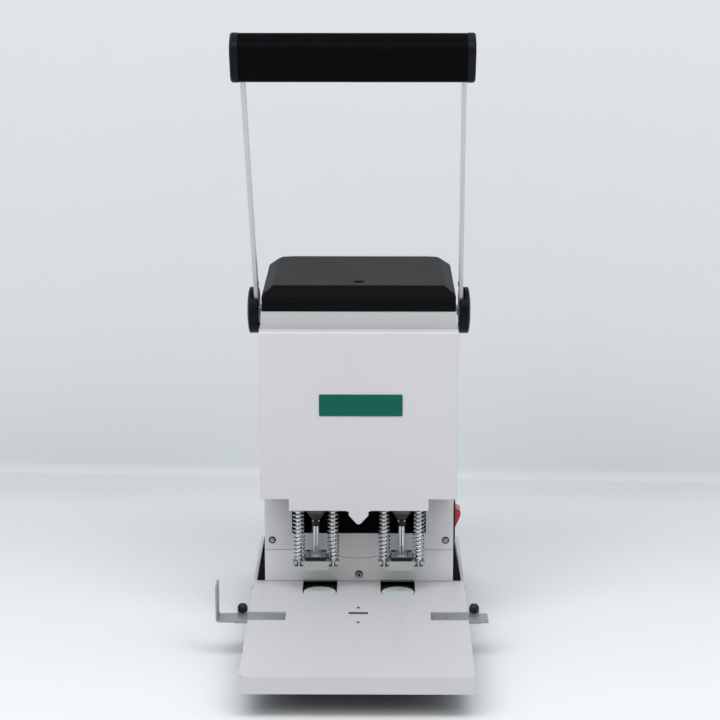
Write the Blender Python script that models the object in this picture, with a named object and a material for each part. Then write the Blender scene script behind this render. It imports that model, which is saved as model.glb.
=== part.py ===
"""Desk paper drill for two holes: a sheet-metal body with a sliding drill head and a bail-shaped press handle.

Metres, +Z up, -Y towards the operator. The origin lies on the table's top, midway between the two drills.
"""

import math

import bmesh
import bpy
from mathutils import Matrix, Vector

# Fits shared by all pieces
GAP = 0.0003            # between pieces that touch
OVERRUN = 0.002         # how far a cut runs past a face
SHEET = 0.0013          # body sheet metal
TABLE_SHEET = 0.0015    # table sheet metal

# Paper, holes and travel
HOLE_SPACING = 0.080
DRILL_RADIUS = 0.003
DRILL_BORE_RADIUS = 0.002
THROAT = 0.0235         # clear height under a raised presser foot
TIP_SETBACK = 0.0001    # drill tip above the foot's underside

# Table and what carries it
TABLE_HALF_WIDTH = 0.100
TABLE_FRONT = 0.225     # front edge, ahead of the drills
FLANGE_HEIGHT = 0.0155
CORNER_SLIT = 0.0008
RUBBER_HEIGHT = 0.0225
RUBBER_RADIUS = 0.011
RUBBER_TAPER = 0.0015
RUBBER_INSET = 0.040
RUBBER_FRONT_INSET = 0.070

# Cutting pads in their slots
PAD_RADIUS = 0.0153
PAD_THICKNESS = 0.004
PAD_BELOW_TABLE = 0.0001
PAD_INBOARD = 0.0033    # pad centre from the drill axis, towards the middle
PAD_FORWARD = 0.005     # pad centre from the drill axis, towards the operator
PAD_SIDE_GAP = 0.0009
SHELF_MARGIN = 0.004

# Body
BODY_HALF_WIDTH = 0.0894
BODY_BACK = 0.164
TABLE_BACK = BODY_BACK + 0.002
COLUMN_FACE = 0.0254
SLOT_BACK = COLUMN_FACE - GAP
UPPER_FACE = -0.006
BODY_TOP = 0.2687
OVERHANG_BOTTOM = 0.096

# Column plate, window and backstop
WINDOW_PAST_DRILL = 0.0232
WINDOW_HALF_WIDTH = HOLE_SPACING / 2 + WINDOW_PAST_DRILL
WINDOW_BOTTOM = 0.0477
SEAM_HEIGHT = 0.0312
SEAM_DIP = 0.0084
SEAM_DIP_HALF_WIDTH = 0.056
SEAM_DIP_STEPS = 12
UPPER_PANEL_BOTTOM = 0.205

# Front cover, its skirt and centre pointer
COVER_FRONT = -0.018
COVER_BACK = 0.022
COVER_TOP = 0.2528
COVER_BOTTOM = 0.0942
COVER_EDGE_RADIUS = 0.003
SKIRT_PAST_WINDOW = 0.0014
SKIRT_HALF_WIDTH = WINDOW_HALF_WIDTH + SKIRT_PAST_WINDOW
SKIRT_BOTTOM = 0.083
POINTER_HALF_WIDTH = 0.0093
POINTER_BOTTOM = 0.070
POINTER_TIP_RADIUS = 0.003
POINTER_FLARE = 0.004

# Top cover
LID_SIDE_INSET = 0.00065
LID_HALF_WIDTH = BODY_HALF_WIDTH - LID_SIDE_INSET
LID_WALL = 0.0025
LID_WALL_HEIGHT = 0.0143
LID_SLOPE_HEIGHT = 0.0083
LID_WALL_TOP = BODY_TOP + LID_WALL_HEIGHT
LID_TOP = LID_WALL_TOP + LID_SLOPE_HEIGHT
LID_SLOPE_RUN = 0.010
LID_SCREW_Y = 0.0216
LID_SCREW_HOLE_RADIUS = 0.0024
LID_RECESS_RADIUS = 0.00525
LID_RECESS_DEPTH = 0.0012

# Guide columns
COLUMN_FROM_SIDE = 0.0294   # axis from the body's outer face
COLUMN_X = BODY_HALF_WIDTH - COLUMN_FROM_SIDE
COLUMN_Y = 0.068
COLUMN_RADIUS = 0.005
COLUMN_FLANGE_RADIUS = 0.010
COLUMN_FLANGE_HEIGHT = 0.006

# Rear cover, power inlet and chip drawer
VENT_COUNT = 6
VENT_HALF_WIDTH = 0.026
VENT_HEIGHT = 0.0035
VENT_PITCH = 0.010
VENT_BOTTOM = 0.150
INLET_FROM_SIDE = 0.0274
INLET_CENTRE_X = INLET_FROM_SIDE - BODY_HALF_WIDTH
INLET_CENTRE_Z = 0.072
INLET_HALF_WIDTH = 0.0145
INLET_HALF_HEIGHT = 0.011
INLET_FLANGE = 0.0025
INLET_FLANGE_THICKNESS = 0.002
INLET_DEPTH = 0.022
INLET_WALL = 0.0022
INLET_PIN_LENGTH = 0.014
INLET_PIN_HALF_WIDTH = 0.001
INLET_PIN_HALF_HEIGHT = 0.002
INLET_PIN_SPACING = 0.007
DRAWER_FROM_COLUMN = 0.013
DRAWER_HALF_WIDTH = COLUMN_X - DRAWER_FROM_COLUMN
DRAWER_HEIGHT = 0.040
DRAWER_FRONT = 0.032
DRAWER_WALL = 0.0015
DRAWER_FACE_MARGIN = 0.004
DRAWER_FACE_THICKNESS = 0.002
DRAWER_PULL_HALF_WIDTH = 0.014
DRAWER_PULL_DEPTH = 0.008
DRAWER_PULL_THICKNESS = 0.003

# Power switch on the right side panel
SWITCH_Y = 0.042
SWITCH_Z = 0.0585
BEZEL_HALF_WIDTH = 0.012
BEZEL_HALF_HEIGHT = 0.0185
BEZEL_THICKNESS = 0.0015
BEZEL_RIM = 0.0015
BEZEL_DEPTH = 0.018
SWITCH_OPENING_HALF_HEIGHT = 0.0141
SWITCH_OPENING_HALF_WIDTH = 0.0096
SWITCH_BACK_WALL = 0.003
ROCKER_PIVOT_INSET = 0.003
ROCKER_PEAK = 0.0101        # how far the raised half stands out from the pivot
ROCKER_PEAK_LOW = 0.0045
ROCKER_PEAK_HIGH = 0.0095
ROCKER_EDGE = 0.0037
ROCKER_HALF_TOP = 0.0129
ROCKER_HALF_BOTTOM = 0.0105
ROCKER_ROOT = 0.003

# Gussets at the column's foot
GUSSET_HEIGHT = 0.0385
GUSSET_WIDTH = 0.0075
GUSSET_EDGE = 0.0006
GUSSET_DEPTH = 0.063

# Bridge that ties the guide columns
BRIDGE_BOTTOM = 0.240
BRIDGE_THICKNESS = 0.008
BRIDGE_HALF_DEPTH = 0.012
EAR_THICKNESS = 0.007
EAR_HALF_DEPTH = 0.011
EAR_TOP = 0.276
NECK_HALF_WIDTH = 0.007
NECK_THICKNESS = 0.003
POST_HALF_WIDTH = 0.006

# Press handle
PIVOT_Y = 0.035
PIVOT_Z = 0.262
HANDLE_TILT = math.radians(29)      # from upright, towards the operator
HANDLE_LENGTH = 0.281               # pivot to the grip's middle
BAIL_LEAN = 0.0042                  # the bail leans this far to the left at its grip
ARM_PAST_BODY = 0.005
ARM_CENTRE_X = BODY_HALF_WIDTH + ARM_PAST_BODY
ARM_THICKNESS = 0.0037
ARM_HALF_WIDTH = 0.007
ARM_EYE_RADIUS = 0.012
ARM_PAST_GRIP = 0.006
SHAFT_RADIUS = 0.005
SHAFT_END_PAST_ARM = 0.0015
CAP_RADIUS = 0.0215
CAP_PAST_BODY = 0.0031
CAP_DEPTH = 0.011
CAP_INNER_X = BODY_HALF_WIDTH + CAP_PAST_BODY
CAP_OUTER_X = CAP_INNER_X + CAP_DEPTH
CAP_WALL = 0.0028
CAP_RIM_SETBACK = 0.0008
CAP_DOME = ((0.0, 0.0), (0.55, 0.0003), (0.82, 0.001), (1.0, 0.0021))  # shares of the radius, drop
GRIP_PAST_ARM = 0.00745
GRIP_LENGTH = 2 * (ARM_CENTRE_X + ARM_THICKNESS / 2 + GRIP_PAST_ARM)
GRIP_CAP_LENGTH = 0.0071
GRIP_HALF_HEIGHT = 0.0210           # along the arms
GRIP_HALF_DEPTH = 0.0145            # across the arms
GRIP_BORE_HALF_HEIGHT = 0.0115
GRIP_BORE_HALF_DEPTH = 0.0085
GRIP_STEPS = 32
GRIP_SQUARENESS = 2.6
GRIP_CAP_ROUND_SHARES = ((0.0, 1.0), (0.45, 0.98), (0.8, 0.9), (1.0, 0.74))

# Rack and pinion
GEAR_MODULE = 0.00125
PINION_TEETH = 28
PRESSURE_ANGLE = math.radians(20)
TOOTH_THICKNESS_SHARE = 0.39        # of the circular pitch, which leaves backlash
TOOTH_ROOT_CLEARANCE = 0.0004
PINION_X = -0.018
PINION_WIDTH = 0.012
RACK_WIDTH = 0.010
RACK_BACK = 0.007                   # metal behind the tooth roots
RACK_LEAD = 0.008                   # toothed length below the pinion's axis
RACK_LID_GAP = 0.0008

# Drill head
HEAD_BOTTOM = 0.0953
HEAD_PAST_DRILL = 0.022
HEAD_HALF_WIDTH = HOLE_SPACING / 2 + HEAD_PAST_DRILL
HEAD_FRONT = -0.014
HEAD_BLOCK_BACK = 0.020
HEAD_BLOCK_TOP = 0.150
SHELF_TOP = 0.112
WALL_FRONT = 0.062
WALL_BACK = 0.070
HEAD_TOP = 0.173
HEAD_PLATE_THICKNESS = 0.004
HEAD_PLATE_HALF_WIDTH = 0.034
HEAD_PLATE_FRONT = 0.0205
BOSS_RADIUS = 0.010
ROD_BORE_TOP = 0.138

# Motor, pulleys and belt
MOTOR_Y = 0.048
MOTOR_RADIUS = 0.025
MOTOR_HEIGHT = 0.060
MOTOR_SHAFT_RADIUS = 0.003
MOTOR_CAP_RADIUS = 0.016
MOTOR_CAP_HEIGHT = 0.003
PULLEY_BOTTOM = 0.156
PULLEY_HEIGHT = 0.010
SPINDLE_PULLEY_RADIUS = 0.013
MOTOR_PULLEY_RADIUS = 0.0065
BELT_INSET = 0.0015
BELT_THICKNESS = 0.0015

# Spindles and drills
CHUCK_RADIUS = 0.0097
CHUCK_CONE_TOP = 0.0772
CHUCK_CONE_BOTTOM = 0.0700
CHUCK_NOSE_RADIUS = 0.0042
COLLAR_RADIUS = 0.0038
COLLAR_BOTTOM = 0.0634
SPINDLE_RADIUS = 0.006
SPINDLE_TOP_MARGIN = 0.002
SPINDLE_BORE_RADIUS = 0.0024
SOCKET_TOP = 0.0845
TIP_BEVEL = 0.0012

# Presser feet
FOOT_BLOCK_HALF_WIDTH = 0.012
FOOT_HALF_WIDTH = 0.022
FOOT_HALF_DEPTH = 0.013
FOOT_HEIGHT = 0.0086
FOOT_EAR_HALF_DEPTH = 0.0065
FOOT_EAR_BOTTOM = 0.0026            # above the foot's underside
FOOT_EAR_HEIGHT = 0.0032
PLATE_HEIGHT = 0.0043
PLATE_HALF_WIDTH = 0.0099
PLATE_HALF_DEPTH = 0.0115
ROD_OFFSET = 0.016
ROD_RADIUS = 0.0028
ROD_TOP = 0.113

# Springs: wire tubes wound round a helix
SPRING_WIRE_RADIUS = 0.0006
SPRING_MEAN_RADIUS = 0.0050
SPRING_CURLS = 17
POINTS_PER_CURL = 8
RETURN_WIRE_RADIUS = 0.0008
RETURN_MEAN_RADIUS = 0.0070
RETURN_CURLS = 11

# Side guides with their channels and thumb knobs
GUIDE_FRONT = -0.083
GUIDE_BACK = -0.062
GUIDE_THICKNESS = 0.002
GUIDE_BELOW_TABLE = 0.001
GUIDE_SIDE_GAP = 0.0008
CHANNEL_LENGTH = 0.034
CHANNEL_INNER = TABLE_HALF_WIDTH - CHANNEL_LENGTH
CHANNEL_WALL = 0.0015
GUIDE_INNER = CHANNEL_INNER + 0.001
LEFT_GUIDE_OUTER = TABLE_HALF_WIDTH + 0.029
LEFT_GUIDE_UPRIGHT = 0.032
GUIDE_BEND_RADIUS = 0.003
RIGHT_GUIDE_OUTER = TABLE_HALF_WIDTH + 0.018
GUIDE_HOLE_X = TABLE_HALF_WIDTH - 0.0196
GUIDE_HOLE_RADIUS = 0.0015
TONGUE_OUTER = TABLE_HALF_WIDTH + 0.012
TONGUE_FRONT = -0.080
TONGUE_BACK = -0.052
KNOB_X = TABLE_HALF_WIDTH + 0.006
KNOB_Y = -0.0585
KNOB_RADIUS = 0.00475
KNOB_HEIGHT = 0.0077
KNOB_DOME_SHARES = ((1.0, 0.0), (1.0, 0.42), (0.92, 0.68), (0.7, 0.88), (0.36, 0.98))
KNOB_STEM_RADIUS = 0.002
KNOB_STEM_BELOW_TONGUE = 0.003

# Roundness, in sides
FINE = 32
ROUND = 24
SMALL = 12

DRILL_X = HOLE_SPACING / 2
SIDES = (("left", -1), ("right", 1))


def clear_scene():
    for old in list(bpy.data.objects):
        bpy.data.objects.remove(old, do_unlink=True)


def make_material(name, colour, roughness, metallic=0.0):
    material = bpy.data.materials.new(name)
    material.use_nodes = True
    shader = material.node_tree.nodes["Principled BSDF"]
    shader.inputs["Base Color"].default_value = (*colour, 1.0)
    shader.inputs["Roughness"].default_value = roughness
    shader.inputs["Metallic"].default_value = metallic
    return material


def place(axis, first, second, along):
    """A point from its two coordinates in the plane across the axis and its place along the axis."""
    if axis == "X":
        return Vector((along, first, second))
    if axis == "Y":
        return Vector((first, along, second))
    return Vector((first, second, along))


def prism(outline, axis, low, high):
    """An outline in the plane across the axis, pulled from low to high along it."""
    shape = bmesh.new()
    bottom = [shape.verts.new(place(axis, *point, low)) for point in outline]
    top = [shape.verts.new(place(axis, *point, high)) for point in outline]
    shape.faces.new(bottom)
    shape.faces.new(top)
    for i in range(len(outline)):
        j = (i + 1) % len(outline)
        shape.faces.new((bottom[i], bottom[j], top[j], top[i]))
    bmesh.ops.recalc_face_normals(shape, faces=shape.faces)
    return shape


def block(low, high):
    """A box between two corners."""
    corners = ((low[0], low[1]), (high[0], low[1]), (high[0], high[1]), (low[0], high[1]))
    return prism(corners, "Z", low[2], high[2])


def turned(profile, centre, axis="Z", steps=ROUND):
    """A closed outline of (radius, height) points turned round an axis through the centre."""
    shape = bmesh.new()
    rings = []
    for radius, height in profile:
        if radius == 0:
            rings.append([shape.verts.new(round_point(0, 0, height, centre, axis))] * steps)
        else:
            turn = 2 * math.pi / steps
            rings.append([
                shape.verts.new(round_point(radius, turn * k, height, centre, axis))
                for k in range(steps)
            ])
    closed = profile[0][0] > 0
    for i in range(len(rings) if closed else len(rings) - 1):
        first, second = rings[i], rings[(i + 1) % len(rings)]
        for k in range(steps):
            n = (k + 1) % steps
            corners = list(dict.fromkeys((first[k], first[n], second[n], second[k])))
            if len(corners) > 2:
                shape.faces.new(corners)
    bmesh.ops.recalc_face_normals(shape, faces=shape.faces)
    return shape


def round_point(radius, angle, height, centre, axis):
    first, second = radius * math.cos(angle), radius * math.sin(angle)
    return Vector(centre) + place(axis, first, second, height)


def rod(radius, low, high, centre, axis="Z", steps=ROUND):
    """A plain round bar."""
    return turned(((0, low), (radius, low), (radius, high), (0, high)), centre, axis, steps)


def stacked(levels):
    """Rectangles (z, left, right, front, back) joined one above another into one closed shape."""
    shape = bmesh.new()
    rings = [
        [shape.verts.new((x, y, z)) for x, y in ((left, front), (right, front), (right, back), (left, back))]
        for z, left, right, front, back in levels
    ]
    shape.faces.new(rings[0])
    shape.faces.new(rings[-1])
    for lower, upper in zip(rings, rings[1:]):
        for k in range(4):
            n = (k + 1) % 4
            shape.faces.new((lower[k], lower[n], upper[n], upper[k]))
    bmesh.ops.recalc_face_normals(shape, faces=shape.faces)
    return shape


def arc(centre, radius, start, end, steps):
    """Points on a circle from one angle to another, both in degrees."""
    points = []
    for i in range(steps + 1):
        angle = math.radians(start + (end - start) * i / steps)
        points.append((centre[0] + radius * math.cos(angle), centre[1] + radius * math.sin(angle)))
    return points


def add_object(name, shape, origin, material=None):
    """Puts a shape made in the part's frame into an object whose own origin is at the given point."""
    bmesh.ops.translate(shape, verts=shape.verts, vec=-Vector(origin))
    mesh = bpy.data.meshes.new(name)
    shape.to_mesh(mesh)
    shape.free()
    obj = bpy.data.objects.new(name, mesh)
    obj.location = origin
    bpy.context.scene.collection.objects.link(obj)
    if material:
        mesh.materials.append(material)
        mesh.shade_smooth()
        mesh.set_sharp_from_angle(angle=math.radians(30))
    return obj


def combine(obj, shape, operation, frame=None):
    """Joins a shape to an object, or cuts it from it, with a live Boolean and a hidden helper."""
    helper = add_object(f"{obj.name}_{operation.lower()}_{len(obj.modifiers)}", shape, (0, 0, 0))
    helper.hide_render = True
    helper.display_type = "WIRE"
    if frame:
        helper.parent = frame
    modifier = obj.modifiers.new(operation.lower(), "BOOLEAN")
    modifier.operation = operation
    modifier.solver = "EXACT"
    modifier.object = helper


def make_piece(name, material, shape, add=(), cut=(), origin=(0, 0, 0), frame=None):
    """One named piece: a first shape, then what is joined to it, then what is cut from it."""
    obj = add_object(name, shape, origin, material)
    if frame:
        obj.parent = frame
    for extra in add:
        combine(obj, extra, "UNION", frame)
    for hole in cut:
        combine(obj, hole, "DIFFERENCE", frame)
    return obj


def span(side, near, far):
    """A stretch of X between two distances from the middle, on one side, low end first."""
    return tuple(sorted((side * near, side * far)))


def side_block(side, near, far, front, back, bottom, top):
    low_x, high_x = span(side, near, far)
    return block((low_x, front, bottom), (high_x, back, top))


def make_table(paint):
    slot_half_width = PAD_RADIUS + PAD_SIDE_GAP
    guide_bottom = -GUIDE_BELOW_TABLE - GUIDE_THICKNESS
    channel_floor = guide_bottom - GAP
    channel_bottom = channel_floor - CHANNEL_WALL
    channel_front = GUIDE_FRONT - GUIDE_SIDE_GAP
    channel_back = GUIDE_BACK + GUIDE_SIDE_GAP
    inner_half = TABLE_HALF_WIDTH - TABLE_SHEET
    table = make_piece(
        "table",
        paint,
        block((-TABLE_HALF_WIDTH, -TABLE_FRONT, -FLANGE_HEIGHT), (TABLE_HALF_WIDTH, TABLE_BACK, 0)),
        cut=[
            block(
                (-inner_half, -TABLE_FRONT + TABLE_SHEET, -FLANGE_HEIGHT - OVERRUN),
                (inner_half, TABLE_BACK - TABLE_SHEET, -TABLE_SHEET),
            )
        ],
    )
    for name, side in SIDES:
        combine(table, side_block(
            side, CHANNEL_INNER - CHANNEL_WALL, inner_half + TABLE_SHEET / 2,
            channel_front - CHANNEL_WALL, channel_back + CHANNEL_WALL,
            channel_bottom, -TABLE_SHEET / 2,
        ), "UNION")
        combine(table, side_block(
            side, inner_half + TABLE_SHEET / 2, TONGUE_OUTER, TONGUE_FRONT, TONGUE_BACK,
            channel_bottom, channel_floor,
        ), "UNION")
        combine(table, side_block(
            side, CHANNEL_INNER, TABLE_HALF_WIDTH + OVERRUN, channel_front, channel_back,
            channel_floor, OVERRUN,
        ), "DIFFERENCE")
        combine(table, rod(
            KNOB_STEM_RADIUS + 2 * GAP, channel_bottom - OVERRUN, channel_floor + OVERRUN / 2,
            (side * KNOB_X, KNOB_Y, 0), steps=SMALL,
        ), "DIFFERENCE")
        pad_x = side * (DRILL_X - PAD_INBOARD)
        slot = [(pad_x + slot_half_width, SLOT_BACK), (pad_x - slot_half_width, SLOT_BACK)]
        slot += arc((pad_x, -PAD_FORWARD), slot_half_width, 180, 360, SMALL)
        combine(table, prism(slot, "Z", -TABLE_SHEET - OVERRUN, OVERRUN), "DIFFERENCE")
        combine(table, side_block(
            side, TABLE_HALF_WIDTH - 2 * TABLE_SHEET, TABLE_HALF_WIDTH + OVERRUN,
            -TABLE_FRONT + TABLE_SHEET + CORNER_SLIT / 8, -TABLE_FRONT + TABLE_SHEET + CORNER_SLIT,
            -FLANGE_HEIGHT - OVERRUN, -TABLE_SHEET,
        ), "DIFFERENCE")
    return table


def make_base(black_paint, rubber):
    pan_half = TABLE_HALF_WIDTH - TABLE_SHEET - GAP
    pan_front = -TABLE_FRONT + TABLE_SHEET + GAP
    pan_back = TABLE_BACK - TABLE_SHEET - GAP
    pan_top = -FLANGE_HEIGHT + TABLE_SHEET
    shelf_top = -PAD_BELOW_TABLE - PAD_THICKNESS - GAP
    shelf_half = DRILL_X - PAD_INBOARD + PAD_RADIUS + SHELF_MARGIN
    shelf_front = -PAD_FORWARD - PAD_RADIUS - SHELF_MARGIN
    make_piece(
        "base_pan",
        black_paint,
        block((-pan_half, pan_front, -FLANGE_HEIGHT), (pan_half, pan_back, pan_top)),
        add=[block(
            (-shelf_half, shelf_front, pan_top - TABLE_SHEET / 2),
            (shelf_half, SLOT_BACK + SHELF_MARGIN, shelf_top),
        )],
    )
    top = -FLANGE_HEIGHT - GAP
    bottom = top - RUBBER_HEIGHT
    profile = (
        (0, bottom),
        (RUBBER_RADIUS - RUBBER_TAPER, bottom),
        (RUBBER_RADIUS, bottom + RUBBER_TAPER),
        (RUBBER_RADIUS, top),
        (0, top),
    )
    for end, y in (("front", -TABLE_FRONT + RUBBER_FRONT_INSET), ("rear", TABLE_BACK - RUBBER_INSET)):
        for name, side in SIDES:
            centre = (side * (TABLE_HALF_WIDTH - RUBBER_INSET), y, 0)
            make_piece(f"rubber_foot_{end}_{name}", rubber, turned(profile, centre), origin=centre)


def make_pads(pad_plastic):
    top = -PAD_BELOW_TABLE
    bottom = top - PAD_THICKNESS
    for name, side in SIDES:
        centre = (side * (DRILL_X - PAD_INBOARD), -PAD_FORWARD, 0)
        make_piece(
            f"{name}_cutting_pad", pad_plastic,
            rod(PAD_RADIUS, bottom, top, centre, steps=FINE), origin=centre,
        )


def make_guides(steel, black_plastic):
    top = -GUIDE_BELOW_TABLE
    bottom = top - GUIDE_THICKNESS
    bend = (-LEFT_GUIDE_OUTER + GUIDE_BEND_RADIUS, bottom + GUIDE_BEND_RADIUS)
    inner_radius = GUIDE_BEND_RADIUS - GUIDE_THICKNESS
    outline = [(-GUIDE_INNER, bottom)]
    outline += arc(bend, GUIDE_BEND_RADIUS, 270, 180, 4)
    outline += [(-LEFT_GUIDE_OUTER, LEFT_GUIDE_UPRIGHT + top)]
    outline += [(-LEFT_GUIDE_OUTER + GUIDE_THICKNESS, LEFT_GUIDE_UPRIGHT + top)]
    outline += arc(bend, inner_radius, 180, 270, 4)
    outline += [(-GUIDE_INNER, top)]
    make_piece("left_paper_guide", steel, prism(outline, "Y", GUIDE_FRONT, GUIDE_BACK))
    middle = (GUIDE_FRONT + GUIDE_BACK) / 2
    make_piece(
        "right_paper_guide",
        steel,
        block((GUIDE_INNER, GUIDE_FRONT, bottom), (RIGHT_GUIDE_OUTER, GUIDE_BACK, top)),
        cut=[rod(
            GUIDE_HOLE_RADIUS, bottom - OVERRUN, top + OVERRUN, (GUIDE_HOLE_X, middle, 0), steps=SMALL,
        )],
    )
    seat = top + GAP
    stem_end = bottom - CHANNEL_WALL - KNOB_STEM_BELOW_TONGUE
    for name, side in SIDES:
        profile = [(0, stem_end), (KNOB_STEM_RADIUS, stem_end), (KNOB_STEM_RADIUS, seat)]
        profile += [(KNOB_RADIUS * wide, seat + KNOB_HEIGHT * high) for wide, high in KNOB_DOME_SHARES]
        profile += [(0, seat + KNOB_HEIGHT)]
        centre = (side * KNOB_X, KNOB_Y, 0)
        make_piece(f"{name}_thumb_knob", black_plastic, turned(profile, centre), origin=centre)


def make_side_panels(paint):
    front_low = COLUMN_FACE + SHEET + GAP
    front_high = UPPER_FACE + SHEET + GAP
    back = BODY_BACK - SHEET - GAP
    notch = SHAFT_RADIUS + GAP
    outline = [
        (front_low, GAP),
        (back, GAP),
        (back, BODY_TOP),
        (PIVOT_Y + notch, BODY_TOP),
    ]
    outline += arc((PIVOT_Y, PIVOT_Z), notch, 0, -180, SMALL)
    outline += [
        (PIVOT_Y - notch, BODY_TOP),
        (front_high, BODY_TOP),
        (front_high, OVERHANG_BOTTOM),
        (front_low, OVERHANG_BOTTOM),
    ]
    for name, side in SIDES:
        low_x, high_x = span(side, BODY_HALF_WIDTH - SHEET, BODY_HALF_WIDTH)
        holes = []
        if name == "right":
            half_width = BEZEL_HALF_WIDTH - BEZEL_RIM + GAP
            half_height = BEZEL_HALF_HEIGHT - BEZEL_RIM + GAP
            holes.append(block(
                (low_x - OVERRUN, SWITCH_Y - half_width, SWITCH_Z - half_height),
                (high_x + OVERRUN, SWITCH_Y + half_width, SWITCH_Z + half_height),
            ))
        make_piece(f"{name}_side_panel", paint, prism(outline, "X", low_x, high_x), cut=holes)


def seam_points(lift):
    """The curved seam between column plate and backstop, from left to right, moved up by lift."""
    points = []
    for i in range(SEAM_DIP_STEPS + 1):
        x = SEAM_DIP_HALF_WIDTH * (2 * i / SEAM_DIP_STEPS - 1)
        dip = SEAM_DIP * (1 + math.cos(math.pi * x / SEAM_DIP_HALF_WIDTH)) / 2
        points.append((x, SEAM_HEIGHT - dip + lift))
    return points


def make_front_plates(paint, dark_paint):
    edge = BODY_HALF_WIDTH
    top = OVERHANG_BOTTOM - GAP
    lower_edge = [(-edge, SEAM_HEIGHT + GAP)] + seam_points(GAP) + [(edge, SEAM_HEIGHT + GAP)]
    window = [
        (edge, top),
        (WINDOW_HALF_WIDTH, top),
        (WINDOW_HALF_WIDTH, WINDOW_BOTTOM),
        (-WINDOW_HALF_WIDTH, WINDOW_BOTTOM),
        (-WINDOW_HALF_WIDTH, top),
        (-edge, top),
    ]
    face = (COLUMN_FACE, COLUMN_FACE + SHEET)
    make_piece("column_front_plate", paint, prism(lower_edge + window, "Y", *face))
    upper_edge = [(-edge, SEAM_HEIGHT)] + seam_points(0) + [(edge, SEAM_HEIGHT)]
    backstop = upper_edge + [(edge, GAP), (-edge, GAP)]
    make_piece("paper_backstop", paint, prism(backstop, "Y", *face))
    make_piece(
        "upper_front_panel", dark_paint,
        block((-edge, UPPER_FACE, UPPER_PANEL_BOTTOM), (edge, UPPER_FACE + SHEET, BODY_TOP)),
    )


def cover_profile(inset, back, bottom):
    """The front cover's side view, moved in by inset, with its rounded top front edge."""
    front = COVER_FRONT + inset
    top = COVER_TOP - inset
    radius = COVER_EDGE_RADIUS - inset
    points = [(back, bottom), (back, top)]
    points += arc((front + radius, top - radius), radius, 90, 180, 6)
    points += [(front, bottom)]
    return points


def lower_outline():
    """The front cover's lower edge with its skirt and its centre pointer, left to right."""
    slope = (SKIRT_BOTTOM - POINTER_BOTTOM) / POINTER_HALF_WIDTH
    half = []
    for share in (0.0, 0.25, 0.5, 0.75, 1.0):
        # The flare leaves the skirt level and ends along the pointer's straight side.
        x = POINTER_HALF_WIDTH + POINTER_FLARE * (1 - share) ** 2 - POINTER_FLARE * share * (1 - share)
        z = SKIRT_BOTTOM - slope * POINTER_FLARE * share ** 2 * 0.75
        half.append((x, z))
    tip = arc((0, POINTER_BOTTOM + POINTER_TIP_RADIUS), POINTER_TIP_RADIUS, 220, 320, 4)
    left = [(-BODY_HALF_WIDTH - COVER_EDGE_RADIUS, COVER_BOTTOM)]
    left += [(-SKIRT_HALF_WIDTH, COVER_BOTTOM)]
    left += [(-SKIRT_HALF_WIDTH, SKIRT_BOTTOM)]
    left += [(-x, z) for x, z in half]
    right = [(x, z) for x, z in reversed(half)]
    right += [(SKIRT_HALF_WIDTH, SKIRT_BOTTOM)]
    right += [(SKIRT_HALF_WIDTH, COVER_BOTTOM)]
    right += [(BODY_HALF_WIDTH + COVER_EDGE_RADIUS, COVER_BOTTOM)]
    return left + tip + right


def make_front_cover(paint):
    inner = BODY_HALF_WIDTH + GAP
    outer = inner + SHEET
    lowest = POINTER_BOTTOM - OVERRUN
    below = lower_outline()
    below += [(below[-1][0], lowest - OVERRUN), (below[0][0], lowest - OVERRUN)]
    make_piece(
        "front_cover",
        paint,
        prism(cover_profile(0, COVER_BACK, lowest), "X", -outer, outer),
        cut=[
            prism(cover_profile(SHEET, COVER_BACK + OVERRUN, lowest - OVERRUN), "X", -inner, inner),
            block(
                (-inner, UPPER_FACE - GAP, COVER_TOP - COVER_EDGE_RADIUS),
                (inner, COVER_BACK + OVERRUN, COVER_TOP + OVERRUN),
            ),
            prism(below, "Y", COVER_FRONT - OVERRUN, COVER_BACK + OVERRUN),
        ],
    )


def lid_levels(inset, bottom):
    half = LID_HALF_WIDTH - inset
    front = UPPER_FACE + inset
    back = BODY_BACK - inset
    run = LID_SLOPE_RUN
    return (
        (bottom, -half, half, front, back),
        (LID_WALL_TOP - inset / 2, -half, half, front, back),
        (LID_TOP - inset, run - half, half - run, front + run, back - run),
    )


def make_top_cover(black_plastic):
    bottom = BODY_TOP + GAP
    centre = (0, LID_SCREW_Y, 0)
    make_piece(
        "top_cover",
        black_plastic,
        stacked(lid_levels(0, bottom)),
        cut=[
            stacked(lid_levels(LID_WALL, bottom - OVERRUN)),
            rod(LID_SCREW_HOLE_RADIUS, LID_TOP - LID_WALL - OVERRUN, LID_TOP + OVERRUN, centre, steps=SMALL),
            rod(LID_RECESS_RADIUS, LID_TOP - LID_RECESS_DEPTH, LID_TOP + OVERRUN, centre),
        ],
    )


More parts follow.
